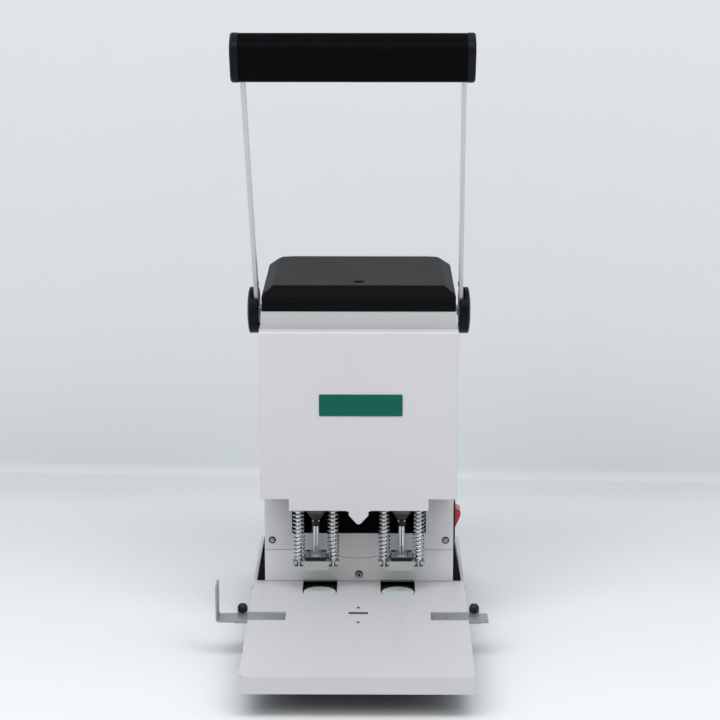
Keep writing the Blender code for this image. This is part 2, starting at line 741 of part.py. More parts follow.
def make_rear(paint, black_plastic, grey_plastic):
    inside = BODY_BACK - SHEET
    holes = [
        block(
            (-DRAWER_HALF_WIDTH - GAP, inside - OVERRUN, -OVERRUN),
            (DRAWER_HALF_WIDTH + GAP, BODY_BACK + OVERRUN, DRAWER_HEIGHT + GAP),
        ),
        block(
            (INLET_CENTRE_X - INLET_HALF_WIDTH - GAP, inside - OVERRUN, INLET_CENTRE_Z - INLET_HALF_HEIGHT - GAP),
            (INLET_CENTRE_X + INLET_HALF_WIDTH + GAP, BODY_BACK + OVERRUN, INLET_CENTRE_Z + INLET_HALF_HEIGHT + GAP),
        ),
    ]
    for i in range(VENT_COUNT):
        bottom = VENT_BOTTOM + i * VENT_PITCH
        holes.append(block(
            (-VENT_HALF_WIDTH, inside - OVERRUN, bottom),
            (VENT_HALF_WIDTH, BODY_BACK + OVERRUN, bottom + VENT_HEIGHT),
        ))
    make_piece(
        "rear_cover", paint,
        block((-BODY_HALF_WIDTH, inside, GAP), (BODY_HALF_WIDTH, BODY_BACK, BODY_TOP)), cut=holes,
    )
    make_power_inlet(black_plastic)
    make_chip_drawer(grey_plastic)


def make_power_inlet(black_plastic):
    face = BODY_BACK + GAP
    outside = face + INLET_FLANGE_THICKNESS
    flange = block(
        (INLET_CENTRE_X - INLET_HALF_WIDTH - INLET_FLANGE, face, INLET_CENTRE_Z - INLET_HALF_HEIGHT - INLET_FLANGE),
        (INLET_CENTRE_X + INLET_HALF_WIDTH + INLET_FLANGE, outside, INLET_CENTRE_Z + INLET_HALF_HEIGHT + INLET_FLANGE),
    )
    body = block(
        (INLET_CENTRE_X - INLET_HALF_WIDTH, outside - INLET_DEPTH, INLET_CENTRE_Z - INLET_HALF_HEIGHT),
        (INLET_CENTRE_X + INLET_HALF_WIDTH, outside - INLET_FLANGE_THICKNESS / 2, INLET_CENTRE_Z + INLET_HALF_HEIGHT),
    )
    half_width = INLET_HALF_WIDTH - INLET_WALL
    half_height = INLET_HALF_HEIGHT - INLET_WALL
    chamfer = half_height / 2
    mouth = [
        (INLET_CENTRE_X - half_width, INLET_CENTRE_Z - half_height),
        (INLET_CENTRE_X + half_width, INLET_CENTRE_Z - half_height),
        (INLET_CENTRE_X + half_width, INLET_CENTRE_Z + half_height - chamfer),
        (INLET_CENTRE_X + half_width - chamfer, INLET_CENTRE_Z + half_height),
        (INLET_CENTRE_X - half_width + chamfer, INLET_CENTRE_Z + half_height),
        (INLET_CENTRE_X - half_width, INLET_CENTRE_Z + half_height - chamfer),
    ]
    floor = outside - INLET_DEPTH + INLET_WALL
    inlet = make_piece(
        "power_inlet", black_plastic, flange, add=[body],
        cut=[prism(mouth, "Y", floor, outside + OVERRUN)],
    )
    for step, rise in ((-1, 0), (0, 1), (1, 0)):
        x = INLET_CENTRE_X + step * INLET_PIN_SPACING
        z = INLET_CENTRE_Z + (rise - 1 / 2) * INLET_PIN_HALF_HEIGHT
        combine(inlet, block(
            (x - INLET_PIN_HALF_WIDTH, floor - INLET_WALL / 2, z - INLET_PIN_HALF_HEIGHT),
            (x + INLET_PIN_HALF_WIDTH, floor + INLET_PIN_LENGTH, z + INLET_PIN_HALF_HEIGHT),
        ), "UNION")


def make_chip_drawer(grey_plastic):
    half = DRAWER_HALF_WIDTH
    face = BODY_BACK + GAP
    outside = face + DRAWER_FACE_THICKNESS
    margin = DRAWER_FACE_MARGIN
    pull_z = DRAWER_HEIGHT / 2
    make_piece(
        "chip_drawer",
        grey_plastic,
        block((-half, DRAWER_FRONT, GAP), (half, face + DRAWER_FACE_THICKNESS / 2, DRAWER_HEIGHT)),
        add=[
            block((-half - margin, face, GAP), (half + margin, outside, DRAWER_HEIGHT + margin)),
            block(
                (-DRAWER_PULL_HALF_WIDTH, outside - DRAWER_FACE_THICKNESS / 2, pull_z),
                (DRAWER_PULL_HALF_WIDTH, outside + DRAWER_PULL_DEPTH, pull_z + DRAWER_PULL_THICKNESS),
            ),
        ],
        cut=[block(
            (-half + DRAWER_WALL, DRAWER_FRONT + DRAWER_WALL, GAP + DRAWER_WALL),
            (half - DRAWER_WALL, face - GAP, DRAWER_HEIGHT + OVERRUN),
        )],
    )


def make_switch(black_plastic, red_plastic):
    outside = BODY_HALF_WIDTH + GAP
    half_width = BEZEL_HALF_WIDTH - BEZEL_RIM
    half_height = BEZEL_HALF_HEIGHT - BEZEL_RIM
    make_piece(
        "switch_bezel",
        black_plastic,
        block(
            (outside, SWITCH_Y - BEZEL_HALF_WIDTH, SWITCH_Z - BEZEL_HALF_HEIGHT),
            (outside + BEZEL_THICKNESS, SWITCH_Y + BEZEL_HALF_WIDTH, SWITCH_Z + BEZEL_HALF_HEIGHT),
        ),
        add=[block(
            (outside - BEZEL_DEPTH, SWITCH_Y - half_width, SWITCH_Z - half_height),
            (outside + BEZEL_THICKNESS / 2, SWITCH_Y + half_width, SWITCH_Z + half_height),
        )],
        cut=[block(
            (outside - BEZEL_DEPTH + SWITCH_BACK_WALL, SWITCH_Y - SWITCH_OPENING_HALF_WIDTH,
             SWITCH_Z - SWITCH_OPENING_HALF_HEIGHT),
            (outside + BEZEL_THICKNESS + OVERRUN, SWITCH_Y + SWITCH_OPENING_HALF_WIDTH,
             SWITCH_Z + SWITCH_OPENING_HALF_HEIGHT),
        )],
    )
    x = BODY_HALF_WIDTH - ROCKER_PIVOT_INSET
    outline = [
        (x + ROCKER_EDGE, SWITCH_Z - ROCKER_HALF_BOTTOM),
        (x + ROCKER_PEAK, SWITCH_Z + ROCKER_PEAK_LOW),
        (x + ROCKER_PEAK, SWITCH_Z + ROCKER_PEAK_HIGH - ROCKER_ROOT / 3),
        (x + ROCKER_PEAK - ROCKER_ROOT / 3, SWITCH_Z + ROCKER_PEAK_HIGH),
        (x + ROCKER_EDGE, SWITCH_Z + ROCKER_HALF_TOP),
        (x - ROCKER_ROOT, SWITCH_Z + ROCKER_HALF_TOP),
        (x - ROCKER_ROOT, SWITCH_Z - ROCKER_HALF_BOTTOM),
    ]
    half = SWITCH_OPENING_HALF_WIDTH - GAP
    make_piece(
        "power_rocker", red_plastic, prism(outline, "Y", SWITCH_Y - half, SWITCH_Y + half),
        origin=(x, SWITCH_Y, SWITCH_Z),
    )


def make_gussets(black_plastic):
    front = COLUMN_FACE + SHEET + GAP
    for name, side in SIDES:
        near = BODY_HALF_WIDTH + GAP
        outline = [
            (side * near, GAP),
            (side * (near + GUSSET_WIDTH), GAP),
            (side * (near + GUSSET_EDGE), GUSSET_HEIGHT),
            (side * near, GUSSET_HEIGHT),
        ]
        make_piece(f"{name}_gusset", black_plastic, prism(outline, "Y", front, front + GUSSET_DEPTH))


def make_guide_columns(steel):
    top = BRIDGE_BOTTOM + BRIDGE_THICKNESS
    profile = (
        (0, GAP),
        (COLUMN_FLANGE_RADIUS, GAP),
        (COLUMN_FLANGE_RADIUS, COLUMN_FLANGE_HEIGHT),
        (COLUMN_RADIUS, COLUMN_FLANGE_HEIGHT),
        (COLUMN_RADIUS, top),
        (0, top),
    )
    for name, side in SIDES:
        centre = (side * COLUMN_X, COLUMN_Y, 0)
        make_piece(f"{name}_guide_column", steel, turned(profile, centre))


def make_top_bridge(cast_metal):
    top = BRIDGE_BOTTOM + BRIDGE_THICKNESS
    front = COLUMN_Y - BRIDGE_HALF_DEPTH
    back = COLUMN_Y + BRIDGE_HALF_DEPTH
    ear_outer = LID_HALF_WIDTH - LID_WALL - GAP
    half = BODY_HALF_WIDTH - SHEET - GAP
    neck_top = LID_TOP - LID_WALL - GAP
    neck_front = LID_SCREW_Y - NECK_HALF_WIDTH
    add = []
    cut = []
    for name, side in SIDES:
        add.append(side_block(
            side, ear_outer - EAR_THICKNESS, ear_outer, PIVOT_Y - EAR_HALF_DEPTH, COLUMN_Y,
            BRIDGE_BOTTOM + BRIDGE_THICKNESS / 8, EAR_TOP,
        ))
        cut.append(rod(
            COLUMN_RADIUS + GAP, BRIDGE_BOTTOM - OVERRUN, top + OVERRUN, (side * COLUMN_X, COLUMN_Y, 0),
        ))
    add.append(block(
        (-POST_HALF_WIDTH, COLUMN_Y - NECK_THICKNESS / 2, top - BRIDGE_THICKNESS / 2),
        (POST_HALF_WIDTH, COLUMN_Y + NECK_THICKNESS / 2, neck_top - NECK_THICKNESS / 2),
    ))
    add.append(block(
        (-NECK_HALF_WIDTH, neck_front, neck_top - NECK_THICKNESS),
        (NECK_HALF_WIDTH, COLUMN_Y + NECK_THICKNESS, neck_top),
    ))
    cut.append(rod(SHAFT_RADIUS + GAP, -half, half, (0, PIVOT_Y, PIVOT_Z), "X", FINE))
    cut.append(rod(
        LID_SCREW_HOLE_RADIUS, neck_top - NECK_THICKNESS - OVERRUN, neck_top + OVERRUN,
        (0, LID_SCREW_Y, 0), steps=SMALL,
    ))
    make_piece(
        "top_bridge", cast_metal,
        block((-half, front, BRIDGE_BOTTOM), (half, back, top)), add=add, cut=cut,
    )


def make_head_casting(cast_metal):
    half = HEAD_HALF_WIDTH
    add = [
        block((-half, HEAD_BLOCK_BACK - OVERRUN, HEAD_BOTTOM), (half, WALL_FRONT + OVERRUN, SHELF_TOP)),
        block((-COLUMN_X, WALL_FRONT, HEAD_BOTTOM), (COLUMN_X, WALL_BACK, HEAD_TOP)),
        block(
            (-HEAD_PLATE_HALF_WIDTH, HEAD_PLATE_FRONT, HEAD_TOP - HEAD_PLATE_THICKNESS),
            (HEAD_PLATE_HALF_WIDTH, WALL_FRONT + OVERRUN, HEAD_TOP),
        ),
    ]
    cut = [rod(
        MOTOR_SHAFT_RADIUS + GAP, HEAD_TOP - HEAD_PLATE_THICKNESS - OVERRUN, HEAD_TOP + OVERRUN,
        (0, MOTOR_Y, 0),
    )]
    for name, side in SIDES:
        add.append(rod(BOSS_RADIUS, HEAD_BOTTOM, HEAD_TOP, (side * COLUMN_X, COLUMN_Y, 0)))
        cut.append(rod(
            COLUMN_RADIUS + GAP, HEAD_BOTTOM - OVERRUN, HEAD_TOP + OVERRUN, (side * COLUMN_X, COLUMN_Y, 0),
        ))
        cut.append(rod(
            SPINDLE_RADIUS + GAP, HEAD_BOTTOM - OVERRUN, HEAD_BLOCK_TOP + OVERRUN, (side * DRILL_X, 0, 0),
        ))
        for offset in (-ROD_OFFSET, ROD_OFFSET):
            cut.append(rod(
                ROD_RADIUS + GAP, HEAD_BOTTOM - OVERRUN, ROD_BORE_TOP, (side * DRILL_X + offset, 0, 0),
                steps=SMALL,
            ))
    make_piece(
        "head_casting", cast_metal,
        block((-half, HEAD_FRONT, HEAD_BOTTOM), (half, HEAD_BLOCK_BACK, HEAD_BLOCK_TOP)),
        add=add, cut=cut,
    )


def make_motor(motor_paint, steel):
    bottom = HEAD_TOP + GAP
    top = bottom + MOTOR_HEIGHT
    bore = MOTOR_SHAFT_RADIUS + GAP
    centre = (0, MOTOR_Y, 0)
    bore_top = bottom + MOTOR_HEIGHT / 4
    profile = (
        (0, bore_top),
        (bore, bore_top),
        (bore, bottom),
        (MOTOR_RADIUS, bottom),
        (MOTOR_RADIUS, top - MOTOR_CAP_HEIGHT),
        (MOTOR_CAP_RADIUS, top - MOTOR_CAP_HEIGHT),
        (MOTOR_CAP_RADIUS, top),
        (0, top),
    )
    make_piece("motor", motor_paint, turned(profile, centre, steps=FINE))
    shaft_top = bore_top - GAP
    pulley_top = PULLEY_BOTTOM + PULLEY_HEIGHT
    profile = (
        (0, PULLEY_BOTTOM),
        (MOTOR_PULLEY_RADIUS, PULLEY_BOTTOM),
        (MOTOR_PULLEY_RADIUS, pulley_top),
        (MOTOR_SHAFT_RADIUS, pulley_top),
        (MOTOR_SHAFT_RADIUS, shaft_top),
        (0, shaft_top),
    )
    make_piece("motor_pulley", steel, turned(profile, centre), origin=centre)


def looped_outline(circles, extra):
    """The outline of a belt stretched round circles, given anticlockwise as (x, y, radius)."""
    normals = []
    for i, (x, y, radius) in enumerate(circles):
        next_x, next_y, next_radius = circles[(i + 1) % len(circles)]
        distance = math.hypot(next_x - x, next_y - y)
        turn = math.acos((radius - next_radius) / distance)
        normals.append(math.degrees(math.atan2(next_y - y, next_x - x) - turn))
    points = []
    for i, (x, y, radius) in enumerate(circles):
        start = normals[i - 1]
        end = normals[i]
        while end < start:
            end += 360
        points += arc((x, y), radius + extra, start, end, 8)
    return points


def make_belt(rubber):
    circles = (
        (-DRILL_X, 0, SPINDLE_PULLEY_RADIUS),
        (DRILL_X, 0, SPINDLE_PULLEY_RADIUS),
        (0, MOTOR_Y, MOTOR_PULLEY_RADIUS),
    )
    low = PULLEY_BOTTOM + BELT_INSET
    high = PULLEY_BOTTOM + PULLEY_HEIGHT - BELT_INSET
    make_piece(
        "drive_belt",
        rubber,
        prism(looped_outline(circles, GAP + BELT_THICKNESS), "Z", low, high),
        cut=[prism(looped_outline(circles, GAP), "Z", low - OVERRUN, high + OVERRUN)],
    )


def make_spindles(dark_steel, drill_steel):
    shaft_top = PULLEY_BOTTOM + PULLEY_HEIGHT + SPINDLE_TOP_MARGIN
    socket = DRILL_RADIUS + GAP
    profile = (
        (socket, COLLAR_BOTTOM),
        (COLLAR_RADIUS, COLLAR_BOTTOM),
        (COLLAR_RADIUS, CHUCK_CONE_BOTTOM),
        (CHUCK_NOSE_RADIUS, CHUCK_CONE_BOTTOM),
        (CHUCK_RADIUS, CHUCK_CONE_TOP),
        (CHUCK_RADIUS, HEAD_BOTTOM - GAP),
        (SPINDLE_RADIUS, HEAD_BOTTOM - GAP),
        (SPINDLE_RADIUS, PULLEY_BOTTOM),
        (SPINDLE_PULLEY_RADIUS, PULLEY_BOTTOM),
        (SPINDLE_PULLEY_RADIUS, PULLEY_BOTTOM + PULLEY_HEIGHT),
        (SPINDLE_RADIUS, PULLEY_BOTTOM + PULLEY_HEIGHT),
        (SPINDLE_RADIUS, shaft_top),
        (SPINDLE_BORE_RADIUS, shaft_top),
        (SPINDLE_BORE_RADIUS, SOCKET_TOP),
        (socket, SOCKET_TOP),
    )
    tip = THROAT + TIP_SETBACK
    drill_profile = (
        (DRILL_BORE_RADIUS, tip),
        (DRILL_BORE_RADIUS + GAP, tip),
        (DRILL_RADIUS, tip + TIP_BEVEL),
        (DRILL_RADIUS, SOCKET_TOP - GAP),
        (DRILL_BORE_RADIUS, SOCKET_TOP - GAP),
    )
    for name, side in SIDES:
        centre = (side * DRILL_X, 0, 0)
        make_piece(f"{name}_spindle", dark_steel, turned(profile, centre), origin=centre)
        make_piece(f"{name}_hollow_drill", drill_steel, turned(drill_profile, centre), origin=centre)


def make_feet(steel, rod_steel, dark_steel):
    bottom = THROAT
    top = THROAT + FOOT_HEIGHT
    ear_bottom = bottom + FOOT_EAR_BOTTOM
    ear_top = ear_bottom + FOOT_EAR_HEIGHT
    plate_bottom = top + GAP
    coil = SPRING_MEAN_RADIUS + SPRING_WIRE_RADIUS + GAP
    waist = ROD_OFFSET - coil
    half = FOOT_BLOCK_HALF_WIDTH
    depth = FOOT_HALF_DEPTH
    for name, side in SIDES:
        x = side * DRILL_X
        right_edge = ((half, -depth), (half, -coil), (waist, -coil), (waist, coil), (half, coil), (half, depth))
        left_edge = [(-across, along) for across, along in reversed(right_edge)]
        outline = [(x + across, along) for across, along in (*right_edge, *left_edge)]
        ears = [block(
            (x - FOOT_HALF_WIDTH, -FOOT_EAR_HALF_DEPTH, ear_bottom),
            (x + FOOT_HALF_WIDTH, FOOT_EAR_HALF_DEPTH, ear_top),
        )]
        drill_hole = rod(DRILL_RADIUS + GAP, bottom - OVERRUN, top + OVERRUN, (x, 0, 0))
        rod_holes = [
            rod(ROD_RADIUS + GAP, ear_bottom - OVERRUN, ear_top + OVERRUN, (x + offset, 0, 0), steps=SMALL)
            for offset in (-ROD_OFFSET, ROD_OFFSET)
        ]
        make_piece(
            f"{name}_presser_foot", steel, prism(outline, "Z", bottom, top),
            add=ears, cut=[drill_hole] + rod_holes,
        )
        make_piece(
            f"{name}_foot_plate", dark_steel,
            block(
                (x - PLATE_HALF_WIDTH, -PLATE_HALF_DEPTH, plate_bottom),
                (x + PLATE_HALF_WIDTH, PLATE_HALF_DEPTH, plate_bottom + PLATE_HEIGHT),
            ),
            cut=[rod(
                DRILL_RADIUS + GAP, plate_bottom - OVERRUN, plate_bottom + PLATE_HEIGHT + OVERRUN, (x, 0, 0),
            )],
        )
        for place_name, offset in (("outer", side * ROD_OFFSET), ("inner", -side * ROD_OFFSET)):
            centre = (x + offset, 0, 0)
            make_piece(
                f"{name}_{place_name}_rod", rod_steel,
                rod(ROD_RADIUS, bottom + GAP, ROD_TOP, centre, steps=SMALL),
            )
            make_spring(
                f"{name}_{place_name}_spring", rod_steel, centre, ear_top + GAP, HEAD_BOTTOM - GAP,
                SPRING_MEAN_RADIUS, SPRING_WIRE_RADIUS, SPRING_CURLS,
            )


def make_spring(name, material, centre, bottom, top, mean_radius, wire_radius, curls):
    """One unbroken wire, wound from bottom to top, with straight ends one wire diameter long."""
    lead = 2 * wire_radius
    low = bottom + lead
    high = top - lead
    count = curls * POINTS_PER_CURL
    points = [Vector((mean_radius, 0, bottom))]
    for i in range(count + 1):
        angle = 2 * math.pi * i / POINTS_PER_CURL
        height = low + (high - low) * i / count
        points.append(Vector((mean_radius * math.cos(angle), mean_radius * math.sin(angle), height)))
    points.append(Vector((mean_radius, 0, top)))
    curve = bpy.data.curves.new(name, "CURVE")
    curve.dimensions = "3D"
    curve.bevel_depth = wire_radius
    curve.bevel_resolution = 1
    curve.use_fill_caps = True
    spline = curve.splines.new("POLY")
    spline.points.add(len(points) - 1)
    for target, point in zip(spline.points, points):
        target.co = (*point, 1)
    curve.materials.append(material)
    obj = bpy.data.objects.new(name, curve)
    obj.location = centre
    bpy.context.scene.collection.objects.link(obj)
    far = POINTS_PER_CURL // 2
    least = min(
        (points[i] - points[j]).length
        for i in range(len(points))
        for j in range(i + far, len(points))
    )
    print(f"{name}: least gap between its turns {1000 * (least - 2 * wire_radius):.2f} mm")


def make_return_springs(rod_steel):
    """The springs round the guide columns, which lift the head again."""
    for name, side in SIDES:
        make_spring(
            f"{name}_return_spring", rod_steel, (side * COLUMN_X, COLUMN_Y, 0),
            COLUMN_FLANGE_HEIGHT + GAP, HEAD_BOTTOM - GAP,
            RETURN_MEAN_RADIUS, RETURN_WIRE_RADIUS, RETURN_CURLS,
        )


def involute(angle):
    return math.tan(angle) - angle


def make_rack(steel):
    pitch = math.pi * GEAR_MODULE
    pitch_radius = GEAR_MODULE * PINION_TEETH / 2
    pitch_y = PIVOT_Y - pitch_radius
    tip_y = pitch_y + GEAR_MODULE
    root_y = pitch_y - GEAR_MODULE - TOOTH_ROOT_CLEARANCE
    half_tooth = pitch * TOOTH_THICKNESS_SHARE / 2
    half_tip = half_tooth - GEAR_MODULE * math.tan(PRESSURE_ANGLE)
    half_root = half_tooth + (pitch_y - root_y) * math.tan(PRESSURE_ANGLE)
    top = LID_TOP - LID_WALL - RACK_LID_GAP
    bottom = HEAD_BLOCK_TOP + GAP
    outline = [(root_y - RACK_BACK, bottom), (root_y, bottom)]
    # A tooth of the rack stands half a pitch from the pinion tooth that points at the pitch line.
    first = PIVOT_Z + pitch / 2 - pitch * math.floor((RACK_LEAD + pitch / 2) / pitch)
    centre = first
    while centre + half_root < top:
        outline += [
            (root_y, centre - half_root),
            (tip_y, centre - half_tip),
            (tip_y, centre + half_tip),
            (root_y, centre + half_root),
        ]
        centre += pitch
    outline += [(root_y, top), (root_y - RACK_BACK, top)]
    make_piece(
        "head_rack", steel,
        prism(outline, "X", PINION_X - RACK_WIDTH / 2, PINION_X + RACK_WIDTH / 2),
    )


def pinion_outline():
    """Involute teeth round the shaft, one of them pointing straight at the rack's pitch line."""
    pitch_radius = GEAR_MODULE * PINION_TEETH / 2
    base_radius = pitch_radius * math.cos(PRESSURE_ANGLE)
    root_radius = pitch_radius - GEAR_MODULE - TOOTH_ROOT_CLEARANCE
    tip_radius = pitch_radius + GEAR_MODULE
    half_pitch_angle = math.pi * TOOTH_THICKNESS_SHARE / PINION_TEETH
    flank = []
    for radius in (base_radius, pitch_radius, tip_radius):
        pressure = math.acos(min(1, base_radius / radius))
        flank.append((radius, half_pitch_angle + involute(PRESSURE_ANGLE) - involute(pressure)))
    flank.insert(0, (root_radius, flank[0][1]))
    points = []
    for tooth in range(PINION_TEETH):
        middle = math.pi + 2 * math.pi * tooth / PINION_TEETH
        for radius, half in flank:
            points.append((radius * math.cos(middle - half), radius * math.sin(middle - half)))
        for radius, half in reversed(flank):
            points.append((radius * math.cos(middle + half), radius * math.sin(middle + half)))
    return points


def handle_point(x, y, z):
    """A point of the upright handle, leaned to the left in step with its height."""
    return Vector((x - BAIL_LEAN * max(z, 0) / HANDLE_LENGTH, y, z))


def lean(shape):
    for vertex in shape.verts:
        vertex.co = handle_point(*vertex.co)
    return shape


def grip_outline(half_depth, half_height, steps=GRIP_STEPS):
    """A rounded section between an ellipse and a rectangle, round the grip's axis."""
    points = []
    power = 2 / GRIP_SQUARENESS
    for k in range(steps):
        angle = 2 * math.pi * k / steps
        depth = math.copysign(abs(math.cos(angle)) ** power, math.cos(angle))
        height = math.copysign(abs(math.sin(angle)) ** power, math.sin(angle))
        points.append((half_depth * depth, HANDLE_LENGTH + half_height * height))
    return points


def grip_cap(side):
    """A smooth plug whose section shrinks in steps towards its outer end."""
    shape = bmesh.new()
    near = GRIP_LENGTH / 2 - GRIP_CAP_LENGTH
    rings = []
    for along, scale in GRIP_CAP_ROUND_SHARES:
        x = side * (near + GRIP_CAP_LENGTH * along)
        outline = grip_outline(GRIP_HALF_DEPTH * scale, GRIP_HALF_HEIGHT * scale)
        rings.append([shape.verts.new((x, y, z)) for y, z in outline])
    shape.faces.new(rings[0])
    shape.faces.new(rings[-1])
    for first, second in zip(rings, rings[1:]):
        for k in range(GRIP_STEPS):
            n = (k + 1) % GRIP_STEPS
            shape.faces.new((first[k], first[n], second[n], second[k]))
    bmesh.ops.recalc_face_normals(shape, faces=shape.faces)
    return shape


def make_handle(arm_steel, steel, grip_rubber, black_plastic):
    """The handle is made upright, with its shaft's axis on the frame's own X axis, and then tilted."""
    frame = bpy.data.objects.new("handle_axis", None)
    frame.location = (0, PIVOT_Y, PIVOT_Z)
    frame.rotation_euler = (HANDLE_TILT, 0, 0)
    bpy.context.scene.collection.objects.link(frame)

    arm_end = HANDLE_LENGTH + ARM_PAST_GRIP
    shoulder = math.degrees(math.asin(ARM_HALF_WIDTH / ARM_EYE_RADIUS))
    arm_outline = [(ARM_HALF_WIDTH, arm_end), (-ARM_HALF_WIDTH, arm_end)]
    arm_outline += arc((0, 0), ARM_EYE_RADIUS, 90 + shoulder, 450 - shoulder, ROUND)
    shaft_end = ARM_CENTRE_X + ARM_THICKNESS / 2 + SHAFT_END_PAST_ARM
    for name, side in SIDES:
        low_x, high_x = span(side, ARM_CENTRE_X - ARM_THICKNESS / 2, ARM_CENTRE_X + ARM_THICKNESS / 2)
        arm = prism(arm_outline, "X", low_x, high_x)
        eye = rod(SHAFT_RADIUS + GAP, low_x - OVERRUN, high_x + OVERRUN, (0, 0, 0), "X")
        make_piece(f"{name}_arm", arm_steel, lean(arm), cut=[eye], frame=frame)

        inner, outer = side * CAP_INNER_X, side * CAP_OUTER_X
        floor = side * (shaft_end + GAP)
        cavity = CAP_RADIUS - CAP_WALL
        profile = (
            (0, floor),
            (cavity, floor),
            (cavity, inner),
            (CAP_RADIUS, inner + side * CAP_RIM_SETBACK),
        )
        profile += tuple((CAP_RADIUS * share, outer - side * drop) for share, drop in reversed(CAP_DOME))
        notch_half = ARM_HALF_WIDTH + 2 * GAP
        notch_x = span(side, CAP_INNER_X - OVERRUN, shaft_end + GAP)
        notch = block((notch_x[0], -notch_half, cavity / 2), (notch_x[1], notch_half, CAP_RADIUS + OVERRUN))
        make_piece(
            f"{name}_pivot_cap", black_plastic, turned(profile, (0, 0, 0), "X", FINE), cut=[notch],
            frame=frame,
        )
        make_piece(f"{name}_grip_cap", black_plastic, lean_whole(grip_cap(side)), frame=frame)

    sleeve_half = GRIP_LENGTH / 2 - GRIP_CAP_LENGTH - GAP
    notches = [
        lean_whole(side_block(
            side, ARM_CENTRE_X - ARM_THICKNESS / 2 - 2 * GAP, ARM_CENTRE_X + ARM_THICKNESS / 2 + OVERRUN,
            -ARM_HALF_WIDTH - 2 * GAP, ARM_HALF_WIDTH + 2 * GAP,
            HANDLE_LENGTH - GRIP_HALF_HEIGHT - OVERRUN, HANDLE_LENGTH,
        ))
        for name, side in SIDES
    ]
    bore = lean_whole(block(
        (-sleeve_half - OVERRUN, -GRIP_BORE_HALF_DEPTH, HANDLE_LENGTH - GRIP_BORE_HALF_HEIGHT),
        (sleeve_half + OVERRUN, GRIP_BORE_HALF_DEPTH, HANDLE_LENGTH + GRIP_BORE_HALF_HEIGHT),
    ))
    sleeve = prism(grip_outline(GRIP_HALF_DEPTH, GRIP_HALF_HEIGHT), "X", -sleeve_half, sleeve_half)
    make_piece("grip_sleeve", grip_rubber, lean_whole(sleeve), cut=[bore] + notches, frame=frame)

    shaft = rod(SHAFT_RADIUS, -shaft_end, shaft_end, (0, 0, 0), "X")
    teeth = prism(pinion_outline(), "X", PINION_X - PINION_WIDTH / 2, PINION_X + PINION_WIDTH / 2)
    bmesh.ops.rotate(teeth, verts=teeth.verts, matrix=Matrix.Rotation(-HANDLE_TILT, 3, "X"))
    make_piece("pinion_shaft", steel, shaft, add=[teeth], frame=frame)


def lean_whole(shape):
    """Moves a piece at the grip by the whole lean, without slanting it."""
    bmesh.ops.translate(shape, verts=shape.verts, vec=Vector((-BAIL_LEAN, 0, 0)))
    return shape


def main():
    clear_scene()
    white_paint = make_material("white_paint", (0.66, 0.65, 0.66), 0.45)
    table_paint = make_material("table_paint", (0.56, 0.56, 0.57), 0.5)
    strip_paint = make_material("strip_paint", (0.48, 0.50, 0.52), 0.5)
    black_paint = make_material("black_paint", (0.02, 0.02, 0.022), 0.6)
    black_plastic = make_material("black_plastic", (0.022, 0.023, 0.026), 0.5)
    grip_rubber = make_material("grip_rubber", (0.008, 0.008, 0.01), 0.6)
    foot_rubber = make_material("foot_rubber", (0.015, 0.015, 0.015), 0.9)
    grey_plastic = make_material("grey_plastic", (0.2, 0.2, 0.21), 0.6)
    red_plastic = make_material("red_plastic", (0.45, 0.02, 0.03), 0.35)
    pad_plastic = make_material("pad_plastic", (0.35, 0.4, 0.38), 0.6)
    steel = make_material("steel", (0.35, 0.36, 0.37), 0.4, 1.0)
    arm_steel = make_material("arm_steel", (0.58, 0.59, 0.6), 0.35, 0.8)
    rod_steel = make_material("rod_steel", (0.7, 0.72, 0.74), 0.25, 1.0)
    dark_steel = make_material("dark_steel", (0.03, 0.03, 0.035), 0.45, 0.6)
    cast_metal = make_material("cast_metal", (0.045, 0.045, 0.048), 0.6, 0.6)
    motor_paint = make_material("motor_paint", (0.05, 0.055, 0.06), 0.5)

    make_table(table_paint)
    make_base(black_paint, foot_rubber)
    make_pads(pad_plastic)
    make_guides(steel, black_plastic)
    make_side_panels(white_paint)
    make_front_plates(white_paint, strip_paint)
    make_front_cover(white_paint)
    make_top_cover(black_plastic)
    make_rear(white_paint, black_plastic, grey_plastic)
    make_switch(black_plastic, red_plastic)
    make_gussets(black_plastic)
    make_guide_columns(rod_steel)
    make_top_bridge(cast_metal)
    make_head_casting(cast_metal)
    make_motor(motor_paint, steel)
    make_belt(foot_rubber)
    make_spindles(dark_steel, rod_steel)
    make_feet(steel, rod_steel, dark_steel)
    make_return_springs(rod_steel)
    make_rack(steel)
    make_handle(arm_steel, steel, grip_rubber, black_plastic)


main()
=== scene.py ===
# Desktop electric hole punch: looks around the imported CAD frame.
import math

